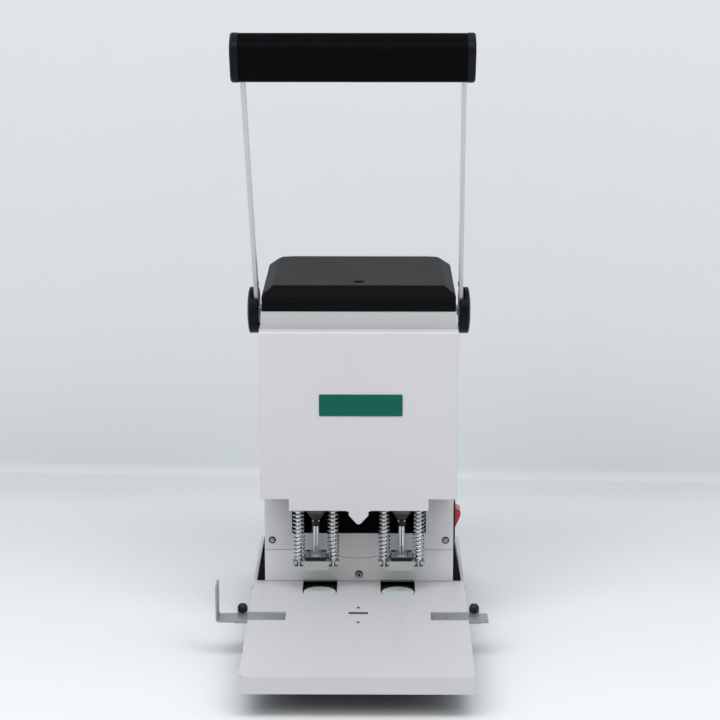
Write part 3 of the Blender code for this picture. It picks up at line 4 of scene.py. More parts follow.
import bpy
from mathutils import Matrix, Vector


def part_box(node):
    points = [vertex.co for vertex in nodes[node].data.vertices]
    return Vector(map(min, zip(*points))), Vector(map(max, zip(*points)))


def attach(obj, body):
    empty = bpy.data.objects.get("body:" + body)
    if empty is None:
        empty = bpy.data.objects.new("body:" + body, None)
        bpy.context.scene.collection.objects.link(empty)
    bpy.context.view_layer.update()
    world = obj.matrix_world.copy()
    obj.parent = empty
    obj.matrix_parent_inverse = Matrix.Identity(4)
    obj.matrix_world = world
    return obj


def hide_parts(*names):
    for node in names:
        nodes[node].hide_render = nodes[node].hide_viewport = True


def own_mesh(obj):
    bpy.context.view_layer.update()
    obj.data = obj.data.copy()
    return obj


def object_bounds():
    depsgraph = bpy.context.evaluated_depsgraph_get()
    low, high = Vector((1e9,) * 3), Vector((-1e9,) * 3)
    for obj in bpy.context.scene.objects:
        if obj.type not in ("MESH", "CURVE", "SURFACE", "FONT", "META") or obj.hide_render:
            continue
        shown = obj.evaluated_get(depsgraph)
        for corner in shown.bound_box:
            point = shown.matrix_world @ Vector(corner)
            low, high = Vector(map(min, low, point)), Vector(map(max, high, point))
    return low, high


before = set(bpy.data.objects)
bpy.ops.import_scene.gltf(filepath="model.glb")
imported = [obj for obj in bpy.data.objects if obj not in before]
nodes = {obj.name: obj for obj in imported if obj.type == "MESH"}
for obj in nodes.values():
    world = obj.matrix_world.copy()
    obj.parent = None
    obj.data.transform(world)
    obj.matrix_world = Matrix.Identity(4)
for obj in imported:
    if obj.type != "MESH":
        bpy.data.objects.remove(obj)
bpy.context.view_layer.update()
sides = (("left", -1), ("right", 1))
# the turn that brings a piece's top towards an axis
topTowards = {"X": (0, math.pi / 2, 0), "Y": (-math.pi / 2, 0, 0), "Z": (0, 0, 0)}


# Small tools for modelling

def focus(piece):
    bpy.ops.object.select_all(action="DESELECT")
    piece.select_set(True)
    bpy.context.view_layer.objects.active = piece


def applyPlace(piece):
    focus(piece)
    bpy.ops.object.transform_apply(location=True, rotation=True, scale=True)


def added(name):
    # the primitive that was just added, with its place moved into its mesh
    piece = bpy.context.active_object
    piece.name = name
    piece.data.name = name
    applyPlace(piece)
    return piece


def addBox(name, low, high):
    low, high = Vector(low), Vector(high)
    bpy.ops.object.select_all(action="DESELECT")
    bpy.ops.mesh.primitive_cube_add(size=1, location=(low + high) / 2, scale=high - low)
    return added(name)


def addRod(name, radius, centre, length, axis="Z", sidesRound=48):
    turn = {"X": (0, math.pi / 2, 0), "Y": (math.pi / 2, 0, 0), "Z": (0, 0, 0)}[axis]
    bpy.ops.object.select_all(action="DESELECT")
    bpy.ops.mesh.primitive_cylinder_add(
        vertices=sidesRound, radius=radius, depth=length, location=centre, rotation=turn
    )
    return added(name)


def pick(piece, kind, test):
    # selects faces by (middle, normal) or edges by their two ends, and stays in edit mode
    focus(piece)
    bpy.ops.object.mode_set(mode="EDIT")
    bpy.ops.mesh.select_mode(type=kind)
    bpy.ops.mesh.select_all(action="DESELECT")
    bpy.ops.object.mode_set(mode="OBJECT")
    mesh = piece.data
    if kind == "FACE":
        for face in mesh.polygons:
            face.select = test(face.center, face.normal)
    else:
        for edge in mesh.edges:
            first, second = (mesh.vertices[i].co for i in edge.vertices)
            edge.select = test(first, second)
    bpy.ops.object.mode_set(mode="EDIT")


def leaveEdit():
    bpy.ops.object.mode_set(mode="OBJECT")


def extrudeUp(height):
    bpy.ops.mesh.extrude_region_move(TRANSFORM_OT_translate={"value": (0, 0, height)})


def bevelEdges(piece, test, width, segments=4):
    pick(piece, "EDGE", test)
    bpy.ops.mesh.bevel(offset=width, offset_type="OFFSET", segments=segments, affect="EDGES")
    leaveEdit()


def modify(piece, kind, **settings):
    focus(piece)
    bpy.ops.object.modifier_add(type=kind)
    modifier = piece.modifiers[-1]
    for key, value in settings.items():
        setattr(modifier, key, value)
    bpy.ops.object.modifier_apply(modifier=modifier.name)


def easeEdges(piece, width, segments=2, angle=32):
    modify(
        piece, "BEVEL", width=width, segments=segments, limit_method="ANGLE",
        angle_limit=math.radians(angle), harden_normals=False, miter_outer="MITER_ARC",
    )


def cutOut(piece, *cutters):
    for cutter in cutters:
        modify(piece, "BOOLEAN", operation="DIFFERENCE", solver="EXACT", object=cutter)
    bpy.ops.object.select_all(action="DESELECT")
    for cutter in cutters:
        cutter.select_set(True)
    bpy.ops.object.delete()


def smooth(piece, angle=35):
    # flat faces keep their own shading beside the rounded edges
    focus(piece)
    bpy.ops.object.shade_smooth_by_angle(angle=math.radians(angle))
    modify(piece, "WEIGHTED_NORMAL", mode="FACE_AREA", weight=50, keep_sharp=True)


def lathe(name, centre, rings, axis="Z", sidesRound=64, hollow=False):
    # rings run along the turned piece as (radius, height above the centre);
    # a hollow one goes round its wall and ends on its first ring
    radius, height = rings[0]
    bpy.ops.object.select_all(action="DESELECT")
    bpy.ops.mesh.primitive_circle_add(
        vertices=sidesRound, radius=radius, fill_type="NGON", location=(0, 0, height)
    )
    piece = added(name)
    bpy.ops.object.mode_set(mode="EDIT")
    bpy.ops.mesh.select_mode(type="FACE")
    bpy.ops.mesh.select_all(action="SELECT")
    for nextRadius, nextHeight in rings[1:]:
        extrudeUp(nextHeight - height)
        if nextRadius != radius:
            grow = nextRadius / radius
            bpy.ops.transform.resize(value=(grow, grow, 1), center_override=(0, 0, nextHeight))
        radius, height = nextRadius, nextHeight
    if hollow:
        bpy.ops.mesh.select_all(action="DESELECT")
        bpy.ops.mesh.select_face_by_sides(number=4, type="GREATER")
        bpy.ops.mesh.delete(type="ONLY_FACE")
        bpy.ops.mesh.select_all(action="SELECT")
        bpy.ops.mesh.remove_doubles(threshold=0.000001)
    bpy.ops.mesh.select_all(action="SELECT")
    bpy.ops.mesh.normals_make_consistent(inside=False)
    leaveEdit()
    piece.rotation_euler = topTowards[axis]
    piece.location = centre
    applyPlace(piece)
    smooth(piece)
    return piece


def copyOf(node, width=0.0004, segments=2, angle=32):
    # a merged copy of a CAD node with its sharp edges eased
    source = nodes[node]
    piece = bpy.data.objects.new(f"{node}_look", source.data.copy())
    bpy.context.scene.collection.objects.link(piece)
    focus(piece)
    bpy.ops.object.mode_set(mode="EDIT")
    bpy.ops.mesh.select_all(action="SELECT")
    bpy.ops.mesh.remove_doubles(threshold=0.00001)
    bpy.ops.mesh.dissolve_limited(angle_limit=math.radians(0.5))
    leaveEdit()
    if width:
        easeEdges(piece, width, segments, angle)
    smooth(piece)
    return piece


def settle(piece, body, look, *replaced, slot=None):
    piece.data.materials.clear()
    piece.data.materials.append(finish[look])
    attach(piece, body)
    if replaced:
        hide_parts(*replaced)
    return piece


def repaint(piece, look, test):
    # a second finish on the faces whose middle and normal pass the test
    piece.data.materials.append(finish[look])
    last = len(piece.data.materials) - 1
    for face in piece.data.polygons:
        if test(face.center, face.normal):
            face.material_index = last


def dress(node, look):
    # a CAD node that keeps its own shape
    data = nodes[node].data
    data.materials.clear()
    data.materials.append(finish[look])


def middleOf(node):
    low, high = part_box(node)
    return (low + high) / 2


# Shader nodes

class Wire:
    # wraps a node's output so that sums on it add Math nodes
    def __init__(self, tree, socket):
        self.tree = tree
        self.socket = socket

    def mathNode(self, operation, *values):
        node = self.tree.nodes.new("ShaderNodeMath")
        node.operation = operation
        for target, value in zip(node.inputs, values):
            if isinstance(value, Wire):
                self.tree.links.new(value.socket, target)
            else:
                target.default_value = value
        return Wire(self.tree, node.outputs[0])

    def __add__(self, other):
        return self.mathNode("ADD", self, other)

    def __sub__(self, other):
        return self.mathNode("SUBTRACT", self, other)

    def __rsub__(self, other):
        return self.mathNode("SUBTRACT", other, self)

    def __mul__(self, other):
        return self.mathNode("MULTIPLY", self, other)

    def __pow__(self, other):
        return self.mathNode("POWER", self, other)

    def __lt__(self, other):
        return self.mathNode("LESS_THAN", self, other)

    def __abs__(self):
        return self.mathNode("ABSOLUTE", self)

    __radd__ = __add__
    __rmul__ = __mul__


def tone(red, green, blue):
    # a screen colour from 0 to 255, made linear
    def linear(value):
        value /= 255
        return value / 12.92 if value <= 0.04045 else ((value + 0.055) / 1.055) ** 2.4
    return (linear(red), linear(green), linear(blue), 1)


class Finish:
    # one material; its other nodes come from add, and feed links them to the shader
    def __init__(self, name, roughness, metallic=0.0, gloss=0.5):
        self.material = bpy.data.materials.new(name)
        self.material.use_nodes = True
        self.tree = self.material.node_tree
        self.shader = self.tree.nodes["Principled BSDF"]
        self.shader.inputs["Roughness"].default_value = roughness
        self.shader.inputs["Metallic"].default_value = metallic
        self.shader.inputs["Specular IOR Level"].default_value = gloss
        self.place = self.add("ShaderNodeTexCoord", output="Object")
        self.height = None
        finish[name] = self.material

    def add(self, kind, settings=None, sockets=None, output=0):
        node = self.tree.nodes.new(kind)
        for key, value in (settings or {}).items():
            setattr(node, key, value)
        for key, value in (sockets or {}).items():
            if isinstance(value, Wire):
                self.tree.links.new(value.socket, node.inputs[key])
            else:
                node.inputs[key].default_value = value
        return Wire(self.tree, node.outputs[output])

    def feed(self, name, wire):
        self.tree.links.new(wire.socket, self.shader.inputs[name])

    def noise(self, scale, detail=2.0, stretch=None, roughness=0.5):
        place = self.place
        if stretch:
            place = self.add("ShaderNodeMapping", sockets={"Vector": place, "Scale": stretch})
        return self.add(
            "ShaderNodeTexNoise", {"noise_dimensions": "3D"},
            {"Vector": place, "Scale": scale, "Detail": detail, "Roughness": roughness},
        )

    def blend(self, mask, first, second):
        # colours mixed by a mask: 0 gives the first
        return self.add(
            "ShaderNodeMix", {"data_type": "RGBA", "clamp_factor": True},
            {0: mask, 6: first, 7: second}, output=2,
        )

    def step(self, wire, low, high):
        # 0 below low, 1 above high
        return self.add(
            "ShaderNodeMapRange", {"clamp": True},
            {"Value": wire, "From Min": low, "From Max": high, "To Min": 0.0, "To Max": 1.0},
        )

    def bump(self, height, distance, strength=1.0):
        # bumps stack: each new one starts from the one before
        sockets = {"Height": height, "Distance": distance, "Strength": strength}
        if self.height:
            sockets["Normal"] = self.height
        self.height = self.add("ShaderNodeBump", sockets=sockets)
        self.feed("Normal", self.height)

    def axes(self):
        node = self.tree.nodes.new("ShaderNodeSeparateXYZ")
        self.tree.links.new(self.place.socket, node.inputs[0])
        return [Wire(self.tree, out) for out in node.outputs]


finish = {}


def shade(colour, factor):
    return tuple(min(1, part * factor) for part in colour[:3]) + (1,)


def paintedSheet(name, colour, roughness=0.42, peel=0.35):
    # satin powder paint: fine orange peel, faint clouds and a few soft scuffs
    look = Finish(name, roughness)
    cloud = look.noise(7, 3)
    fine = look.noise(120, 2)
    colourWire = look.blend(cloud, shade(colour, 0.965), shade(colour, 1.02))
    scuffs = look.step(look.noise(26, 4, (1, 6, 1), 0.65), 0.66, 0.74) * 0.35
    look.feed("Base Color", look.blend(scuffs, colourWire, shade(colour, 0.9)))
    look.feed("Roughness", roughness - 0.05 + cloud * 0.08 + fine * 0.05)
    look.bump(look.noise(950, 2), 0.00005, peel)
    look.bump(cloud, 0.0004, 0.25)


def tablePaint():
    # as the body's paint, with faint sliding marks where paper runs in
    colour = tone(203, 203, 205)
    look = Finish("tablePaint", 0.45)
    x = look.axes()[0]
    cloud = look.noise(5, 3)
    rubbed = look.step(look.noise(40, 5, (1, 0.06, 1), 0.7), 0.56, 0.7)
    lane = 1 - look.step(abs(x), 0.045, 0.09)
    colourWire = look.blend(cloud, shade(colour, 0.97), shade(colour, 1.02))
    look.feed("Base Color", look.blend(rubbed * lane * 0.25, colourWire, shade(colour, 0.9)))
    look.feed("Roughness", 0.42 + cloud * 0.08 - rubbed * lane * 0.1)
    look.bump(look.noise(900, 2), 0.00005, 0.35)


def mouldedPlastic(name, colour, roughness=0.5, grain=0.5, gloss=0.5, scale=1100):
    # fine spark-eroded grain with slightly shinier high spots
    look = Finish(name, roughness, gloss=gloss)
    pits = look.add(
        "ShaderNodeTexVoronoi", {"feature": "SMOOTH_F1"},
        {"Vector": look.place, "Scale": scale, "Smoothness": 0.6},
    )
    cloud = look.noise(14, 3)
    look.feed("Base Color", look.blend(cloud, shade(colour, 0.85), shade(colour, 1.2)))
    look.feed("Roughness", roughness - 0.06 + cloud * 0.1 + pits * 0.06)
    look.bump(pits, 0.00006, grain)


def drawnMetal(name, colour, roughness, stretch, metallic=1.0, lines=0.5):
    # drawn, ground or brushed metal: streaks run along the short side of the stretch
    look = Finish(name, roughness, metallic)
    streaks = look.noise(60, 4, stretch, 0.7)
    cloud = look.noise(20, 2)
    look.feed("Base Color", look.blend(streaks, shade(colour, 0.82), shade(colour, 1.1)))
    look.feed("Roughness", roughness - 0.07 + streaks * 0.1 + cloud * 0.06)
    look.bump(streaks, 0.00003, lines)


def castMetal(name, colour):
    look = Finish(name, 0.6, 0.6)
    lumps = look.noise(260, 5, roughness=0.65)
    look.feed("Base Color", look.blend(lumps, shade(colour, 0.8), shade(colour, 1.2)))
    look.feed("Roughness", 0.5 + lumps * 0.2)
    look.bump(lumps, 0.0003, 0.6)


def softRubber(name, colour, roughness=0.75, gloss=0.3):
    look = Finish(name, roughness, gloss=gloss)
    dust = look.noise(90, 4, roughness=0.6)
    look.feed("Base Color", look.blend(look.step(dust, 0.45, 0.8), colour, shade(colour, 2.2)))
    look.feed("Roughness", roughness - 0.05 + dust * 0.12)
    look.bump(look.noise(700, 3), 0.00008, 0.5)


def drillSteel():
    # polished tube with a painted dark reflection line down its front
    colour = tone(212, 214, 216)
    look = Finish("drillSteel", 0.14, 1.0)
    x, y = look.axes()[:2]
    # painted reflection: a dark line on the front half only, standing for the dark middle line the
    # steel reflects
    paintedDarkReflection = (1 - look.step(abs(abs(x) - 0.0401), 0.0003, 0.0006)) * (y < 0)
    streaks = look.noise(60, 4, (8, 8, 60), 0.7)
    ground = look.blend(streaks, shade(colour, 0.9), shade(colour, 1.08))
    look.feed("Base Color", look.blend(paintedDarkReflection, ground, tone(38, 38, 40)))
    look.feed("Roughness", 0.1 + streaks * 0.1)
    look.bump(streaks, 0.00002, 0.1)


def padPlastic():
    # pale polymer scarred by the rings that the drills leave
    colour = tone(196, 206, 202)
    look = Finish("padPlastic", 0.55)
    x, y = look.axes()[:2]
    across = abs(x) - 0.04
    far = (across * across + y * y) ** 0.5
    ring = 1 - look.step(abs(far - 0.0029), 0.00015, 0.0005)
    inside = 1 - look.step(far, 0.0024, 0.003)
    cloud = look.noise(60, 4)
    colourWire = look.blend(cloud, shade(colour, 0.93), shade(colour, 1.05))
    colourWire = look.blend(inside * 0.25, colourWire, shade(colour, 1.25))
    look.feed("Base Color", look.blend(ring * 0.7, colourWire, shade(colour, 0.55)))
    look.feed("Roughness", 0.5 + cloud * 0.12)
    look.bump(ring, 0.0002, -0.6)
    look.bump(look.noise(800, 2), 0.00005, 0.4)


def makeFinishes():
    paintedSheet("bodyPaint", tone(211, 209, 212))
    # the body's white paint painted lighter for the column and backstop: painted light making up for
    # the shade under the cover
    paintedSheet("columnLitPaint", tone(221, 221, 222))
    paintedSheet("stripPaint", tone(191, 194, 194))
    paintedSheet("panPaint", tone(30, 30, 32), 0.6)
    paintedSheet("motorPaint", tone(52, 55, 60), 0.5)
    tablePaint()
    mouldedPlastic("lidPlastic", tone(12, 12, 16), 0.46, 0.4, 0.07)
    mouldedPlastic("blackPlastic", tone(15, 16, 18), 0.42, 0.35, 0.12)
    mouldedPlastic("knobPlastic", tone(18, 18, 20), 0.32, 0.2, 0.4)
    mouldedPlastic("greyPlastic", tone(120, 122, 126), 0.55, 0.5)
    mouldedPlastic("redPlastic", tone(188, 38, 48), 0.22, 0.05)
    mouldedPlastic("labelGreen", tone(9, 92, 76), 0.32, 0.05, 0.15)
    mouldedPlastic("printBlack", tone(18, 18, 20), 0.5, 0.1)
    softRubber("gripRubber", tone(5, 5, 8), 0.58, 0.05)
    softRubber("footRubber", tone(26, 26, 27), 0.85)
    drawnMetal("guideSteel", tone(162, 164, 167), 0.36, (1, 30, 30), 0.65)
    drawnMetal("footSteel", tone(186, 191, 190), 0.42, (1, 30, 30), 0.6)
    drawnMetal("turnedSteel", tone(160, 162, 165), 0.3, (8, 8, 60))
    drawnMetal("armSteel", tone(212, 213, 213), 0.36, (40, 3, 3), 0.5)
    drawnMetal("brightSteel", tone(214, 216, 219), 0.16, (8, 8, 60), lines=0.25)
    drawnMetal("springSteel", tone(216, 218, 220), 0.18, (30, 30, 30), lines=0.1)
    drawnMetal("screwSteel", tone(178, 180, 183), 0.28, (30, 30, 30), lines=0.3)
    drawnMetal("blackSteel", tone(34, 34, 37), 0.4, (30, 30, 30), 0.7)
    drawnMetal("darkSteel", tone(84, 85, 88), 0.3, (8, 8, 60))
    drawnMetal("greySteel", tone(118, 120, 122), 0.3, (30, 30, 30))
    drillSteel()
    # near black: painted shade on faces inside the body and on the pad slots' walls; the lid's screw
    # is near black too
    mouldedPlastic("blackAndShade", tone(9, 9, 10), 0.8, 0.1, 0.05)
    castMetal("castMetal", tone(30, 30, 33))
    padPlastic()
    print(f"finishes: {len(finish)}")


# Studio

studio = {
    "front": -2.6, "back": 0.521, "top": 2.4, "halfWidth": 2.6, "bend": 0.012, "turn": -2.5,
    "camera": {
        "place": (0.0141, -1.97, 0.677), "down": 13, "turn": 0.00656, "lens": 110, "sensor": 36,
    },
    "lamps": {
        "above": {"place": (0, -0.85, 1.8), "aim": (0, -0.1, 0), "size": (2.2, 0.6), "power": 18},
        "left": {"place": (-1.2, -1.4, 1.5), "aim": (0, 0, 0.1), "size": (1.2, 1.0), "power": 8.5},
        "right": {"place": (1.2, -1.4, 1.5), "aim": (0, 0, 0.1), "size": (1.2, 1.0), "power": 6.5},
    },
    "flag": {"place": (0, -2.5, 0.75), "size": (1.3, 1.2)},
    "air": 0.58,
}


def sweepPaper():
    # pale paper with painted light: painted brighter on the floor near the machine, and painted shade
    # a little darker where the wall begins
    look = Finish("sweepPaper", 0.9, gloss=0.2)
    y, z = look.axes()[1:]
    # painted light: the floor's colour brightens towards the machine
    near = 1 - look.step(y, -0.16, 0.28)
    # painted shade: the wall's colour darkens low down, near the bend
    high = look.step(z, -0.04, 0.15)
    wall = look.blend(high, tone(221, 225, 227), tone(227, 230, 232))
    ground = look.blend(near, tone(228, 231, 233), tone(240, 242, 243))
    look.feed("Base Color", look.blend(look.step(y, 0.40, 0.46), ground, wall))
    # the sweep is clear from its back, so that the machine shows from every side
    behind = look.add("ShaderNodeNewGeometry", output="Backfacing")
    paper = Wire(look.tree, look.shader.outputs["BSDF"])
    clear = look.add("ShaderNodeBsdfTransparent")
    bothFaces = look.add("ShaderNodeMixShader", sockets={0: behind, 1: paper, 2: clear})
    look.tree.links.new(bothFaces.socket, look.tree.nodes["Material Output"].inputs["Surface"])


def makeSweep():
    # a floor that bends up into the wall behind the machine
    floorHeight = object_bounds()[0].z
    depth = studio["back"] - studio["front"]
    bpy.ops.object.select_all(action="DESELECT")
    bpy.ops.mesh.primitive_plane_add(size=1)
    floor = bpy.context.active_object
    floor.name = "studioSweep"
    floor.scale = (2 * studio["halfWidth"], depth, 1)
    floor.location = (0, studio["back"] - depth / 2, floorHeight)
    applyPlace(floor)
    rearEdge = studio["back"] - 0.001
    pick(floor, "EDGE", lambda a, b: min(a.y, b.y) > rearEdge)
    extrudeUp(studio["top"] - floorHeight)
    leaveEdit()
    bevelEdges(
        floor,
        lambda a, b: min(a.y, b.y) > rearEdge and max(a.z, b.z) < floorHeight + 0.001,
        studio["bend"], 12,
    )
    floor.rotation_euler = (0, 0, math.radians(studio["turn"]))
    applyPlace(floor)
    smooth(floor, 60)
    sweepPaper()
    floor.data.materials.append(finish["sweepPaper"])


def makeFlag():
    # a dark cloth behind the camera gives the turned steel its dark middle line
    bpy.ops.object.select_all(action="DESELECT")
    bpy.ops.mesh.primitive_plane_add(size=1, rotation=(-math.pi / 2, 0, 0))
    flag = bpy.context.active_object
    flag.name = "studioFlag"
    flag.scale = (*studio["flag"]["size"], 1)
    flag.location = studio["flag"]["place"]
    applyPlace(flag)
    flag.visible_camera = False
    cloth = Finish("flagCloth", 0.9, gloss=0.1)
    cloth.shader.inputs["Base Color"].default_value = tone(16, 16, 17)
    flag.data.materials.append(finish["flagCloth"])


def makeCamera():
    view = studio["camera"]
    camera = bpy.data.cameras.new("photoCamera")
    camera.sensor_width = view["sensor"]
    camera.lens = view["lens"]
    holder = bpy.data.objects.new("photoCamera", camera)
    holder.location = view["place"]
    holder.rotation_euler = (math.radians(90 - view["down"]), 0, view["turn"])
    bpy.context.scene.collection.objects.link(holder)
    bpy.context.scene.camera = holder


def makeLamps():
    for name, lamp in studio["lamps"].items():
        light = bpy.data.lights.new(name, "AREA")
        light.energy = lamp["power"]
        light.shape = "RECTANGLE"
        light.size, light.size_y = lamp["size"]
        holder = bpy.data.objects.new(name, light)
        holder.location = lamp["place"]
        aim = Vector(lamp["aim"]) - Vector(lamp["place"])
        holder.rotation_euler = aim.to_track_quat("-Z", "Y").to_euler()
        bpy.context.scene.collection.objects.link(holder)
    world = bpy.data.worlds.new("studioAir")
    world.use_nodes = True
    air = world.node_tree.nodes["Background"]
    air.inputs["Color"].default_value = tone(226, 229, 232)
    air.inputs["Strength"].default_value = studio["air"]
    bpy.context.scene.world = world


def makeStudio():
    makeSweep()
    makeFlag()
    makeCamera()
    makeLamps()
    bpy.context.scene.view_settings.view_transform = "Standard"
    print(f"studio: sweep, camera, {len(studio['lamps'])} lamps")


# Table and what it carries

def makeScrew(name, centre, axis, radius, height, drive="cross", flip=1):
    # a domed head with a cross, or a flat one with a hexagon; flip turns it round along the axis
    deep = height * 0.55
    if drive == "hexagon":
        rings = [(radius, 0), (radius, height * 0.9), (radius * 0.92, height)]
        head = lathe(name, (0, 0, 0), rings, sidesRound=40)
        cutters = [addRod("cut", radius * 0.55, (0, 0, height), 2 * deep, sidesRound=6)]
    else:
        rings = [
            (radius, 0), (radius, height * 0.45), (radius * 0.96, height * 0.7),
            (radius * 0.8, height * 0.93), (radius * 0.5, height),
        ]
        head = lathe(name, (0, 0, 0), rings, sidesRound=40)
        long, wide = radius * 0.6, radius * 0.12
        cutters = []
        for turn in (20, 110):
            bar = addBox("cut", (-long, -wide, height - deep), (long, wide, height * 1.5))
            bar.rotation_euler = (0, 0, math.radians(turn))
            applyPlace(bar)
            cutters.append(bar)
    cutOut(head, *cutters)
    head.rotation_euler = tuple(flip * angle for angle in topTowards[axis])
    head.location = centre
    applyPlace(head)
    smooth(head)
    return head


padSlot = {"x": 0.0367, "halfWidth": 0.0175, "front": -0.0225, "back": 0.0262, "low": -0.0035}
tableSheet = {
    "relief": {"x": 0.0985, "y": -0.2236, "radius": 0.0012, "length": 0.006},
    "screw": {"x": 0.1, "along": (-0.1424, 0.03), "drop": 0.55, "radius": 0.003, "height": 0.0019},
}


def makeTable():
    table = copyOf("table", 0.0004, 2)
    relief = tableSheet["relief"]
    centres = [(side * relief["x"], relief["y"], 0) for side in (-1, 1)]
    cutOut(table, *(
        addRod("cut", relief["radius"], centre, relief["length"], sidesRound=20) for centre in centres
    ))
    smooth(table)
    settle(table, "machine", "tablePaint", "table", slot="table_paint")

    def slotWall(middle, normal):
        across = abs(abs(middle.x) - padSlot["x"]) < padSlot["halfWidth"]
        along = padSlot["front"] < middle.y < padSlot["back"]
        return across and along and abs(normal.z) < 0.5 and middle.z > padSlot["low"]

    # the pad slots' walls are painted near black: painted shade inside the slots
    repaint(table, "blackAndShade", slotWall)
    pan = copyOf("base_pan", 0.0003, 1)
    settle(pan, "machine", "panPaint", "base_pan", slot="black_paint")
    size = tableSheet["screw"]
    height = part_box("table")[0].z * size["drop"]
    for name, side in sides:
        for i, y in enumerate(size["along"]):
            screw = makeScrew(
                f"{name}_table_screw_{i}", (side * size["x"], y, height), "X",
                size["radius"], size["height"], flip=side,
            )
            settle(screw, "machine", "screwSteel")
    makeTableMarks()
    makeRubberFeet()
    print("table: sheet, pan, marks, screws, rubber feet")


centreMark = {
    "y": -0.065, "length": 0.018, "width": 0.0046, "gap": 0.00002, "ink": 0.00012,
    "arrow": 0.0032, "arrows": {"rear": (-0.0505, 0), "front": (-0.0895, math.pi)},
}


def makeTableMarks():
    # the printed centre line: a bar between two small arrow heads
    mark = centreMark
    bar = addBox(
        "centre_bar_mark",
        (-mark["length"] / 2, mark["y"] - mark["width"] / 2, mark["gap"]),
        (mark["length"] / 2, mark["y"] + mark["width"] / 2, mark["ink"]),
    )
    easeEdges(bar, 0.00003, 1)
    settle(bar, "machine", "printBlack")
    for name, (y, turn) in mark["arrows"].items():
        bpy.ops.object.select_all(action="DESELECT")
        bpy.ops.mesh.primitive_cylinder_add(
            vertices=3, radius=mark["arrow"], depth=mark["ink"],
            location=(0, y, mark["ink"] / 2 + mark["gap"]), rotation=(0, 0, turn), scale=(0.8, 1, 1),
        )
        arrow = added(f"{name}_arrow_mark")
        easeEdges(arrow, 0.00003, 1)
        settle(arrow, "machine", "printBlack")


rubberFoot = {"radius": 0.011, "taper": 0.0015, "hollow": 0.0012, "edge": 0.0004}


def makeRubberFeet():
    radius, taper = rubberFoot["radius"], rubberFoot["taper"]
    for end in ("front", "rear"):
        for name, side in sides:
            node = f"rubber_foot_{end}_{name}"
            bottom, top = (corner.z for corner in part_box(node))
            centre = middleOf(node)
            rings = [
                (radius * 0.35, bottom + rubberFoot["hollow"]), (radius * 0.45, bottom),
                (radius - taper, bottom), (radius - rubberFoot["edge"], bottom + taper * 0.6),
                (radius, bottom + taper * 1.6), (radius, top),
            ]
            piece = lathe(f"{node}_look", (centre.x, centre.y, 0), rings)
            settle(piece, "machine", "footRubber", node, slot="foot_rubber")


cuttingPad = {"under": 0.0004, "edge": 0.0005}


def makePads():
    under, edge = cuttingPad["under"], cuttingPad["edge"]
    for name, side in sides:
        node = f"{name}_cutting_pad"
        low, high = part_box(node)
        centre = middleOf(node)
        radius = (high.x - low.x) / 2
        rings = [
            (radius - under, low.z), (radius, low.z + under), (radius, high.z - edge),
            (radius - edge, high.z), (radius * 0.4, high.z),
        ]
        pad = lathe(f"{node}_look", (centre.x, centre.y, 0), rings, sidesRound=96)
        settle(pad, f"{name}_pad", "padPlastic", node, slot="pad_plastic")
    print("pads")


thumbKnob = {"seat": 0.0023, "stem": 0.002, "rim": 0.0025, "steps": 12}


def makeGuides():
    for name, side in sides:
        strip = copyOf(f"{name}_paper_guide", 0.0003, 2, 50)
        settle(strip, f"{name}_guide", "guideSteel", f"{name}_paper_guide", slot="steel")
        node = f"{name}_thumb_knob"
        low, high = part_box(node)
        centre = middleOf(node)
        radius = (high.x - low.x) / 2
        stem = thumbKnob["stem"]
        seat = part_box(f"{name}_paper_guide")[0].z + thumbKnob["seat"]
        rim = seat + thumbKnob["rim"]
        rings = [(stem * 0.8, low.z), (stem, low.z + 0.0004), (stem, seat), (radius * 0.96, seat)]
        for i in range(thumbKnob["steps"] + 1):
            angle = math.pi / 2 * i / thumbKnob["steps"]
            around = max(radius * math.cos(angle) ** 0.7, radius * 0.06)
            rings.append((around, rim + (high.z - rim) * math.sin(angle)))
        knob = lathe(f"{node}_look", (centre.x, centre.y, 0), rings)
        settle(knob, f"{name}_knob", "knobPlastic", node, slot="black_plastic")
    print("guides and knobs")


# Body shell

def makeShadeDisc(name, place, radius, thick, sidesRound=40):
    # a thin black disc in front of the place: painted shade for the dark gap round a screw head or
    # inside its socket
    disc = addRod(name, radius, (place[0], place[1] - thick / 2, place[2]), thick, "Y", sidesRound)
    easeEdges(disc, thick * 0.2, 1)
    smooth(disc)
    settle(disc, "machine", "blackSteel")


shells = {  # node: finish, material slot, width of the eased edge
    "left_side_panel": ("bodyPaint", "white_paint", 0.0004),
    "right_side_panel": ("bodyPaint", "white_paint", 0.0004),
    "column_front_plate": ("columnLitPaint", "white_paint", 0.0005),
    "paper_backstop": ("columnLitPaint", "white_paint", 0.0004),
    "upper_front_panel": ("stripPaint", "strip_paint", 0.0004),
    "rear_cover": ("bodyPaint", "white_paint", 0.0004),
    "left_gusset": ("blackPlastic", "black_plastic", 0.0005),
    "right_gusset": ("blackPlastic", "black_plastic", 0.0005),
    "switch_bezel": ("blackPlastic", "black_plastic", 0.0005),
    "power_inlet": ("blackPlastic", "black_plastic", 0.0003),
}
# faces that look into the body are painted near black: painted shade inside the body, seen through the
# head window
inward = {
    "left_side_panel": (1, 0, 0), "right_side_panel": (-1, 0, 0),
    "column_front_plate": (0, 1, 0), "rear_cover": (0, -1, 0),
}
stopNotch = {"halfWidth": 0.0162, "low": -0.001, "high": 0.0012, "back": 0.05}


def notchBackstop(piece):
    # clears the pad slots
    middle, half = padSlot["x"], stopNotch["halfWidth"]
    cutOut(piece, *(
        addBox(
            "cut", (side * middle - half, 0, stopNotch["low"]),
            (side * middle + half, stopNotch["back"], stopNotch["high"]),
        )
        for side in (-1, 1)
    ))


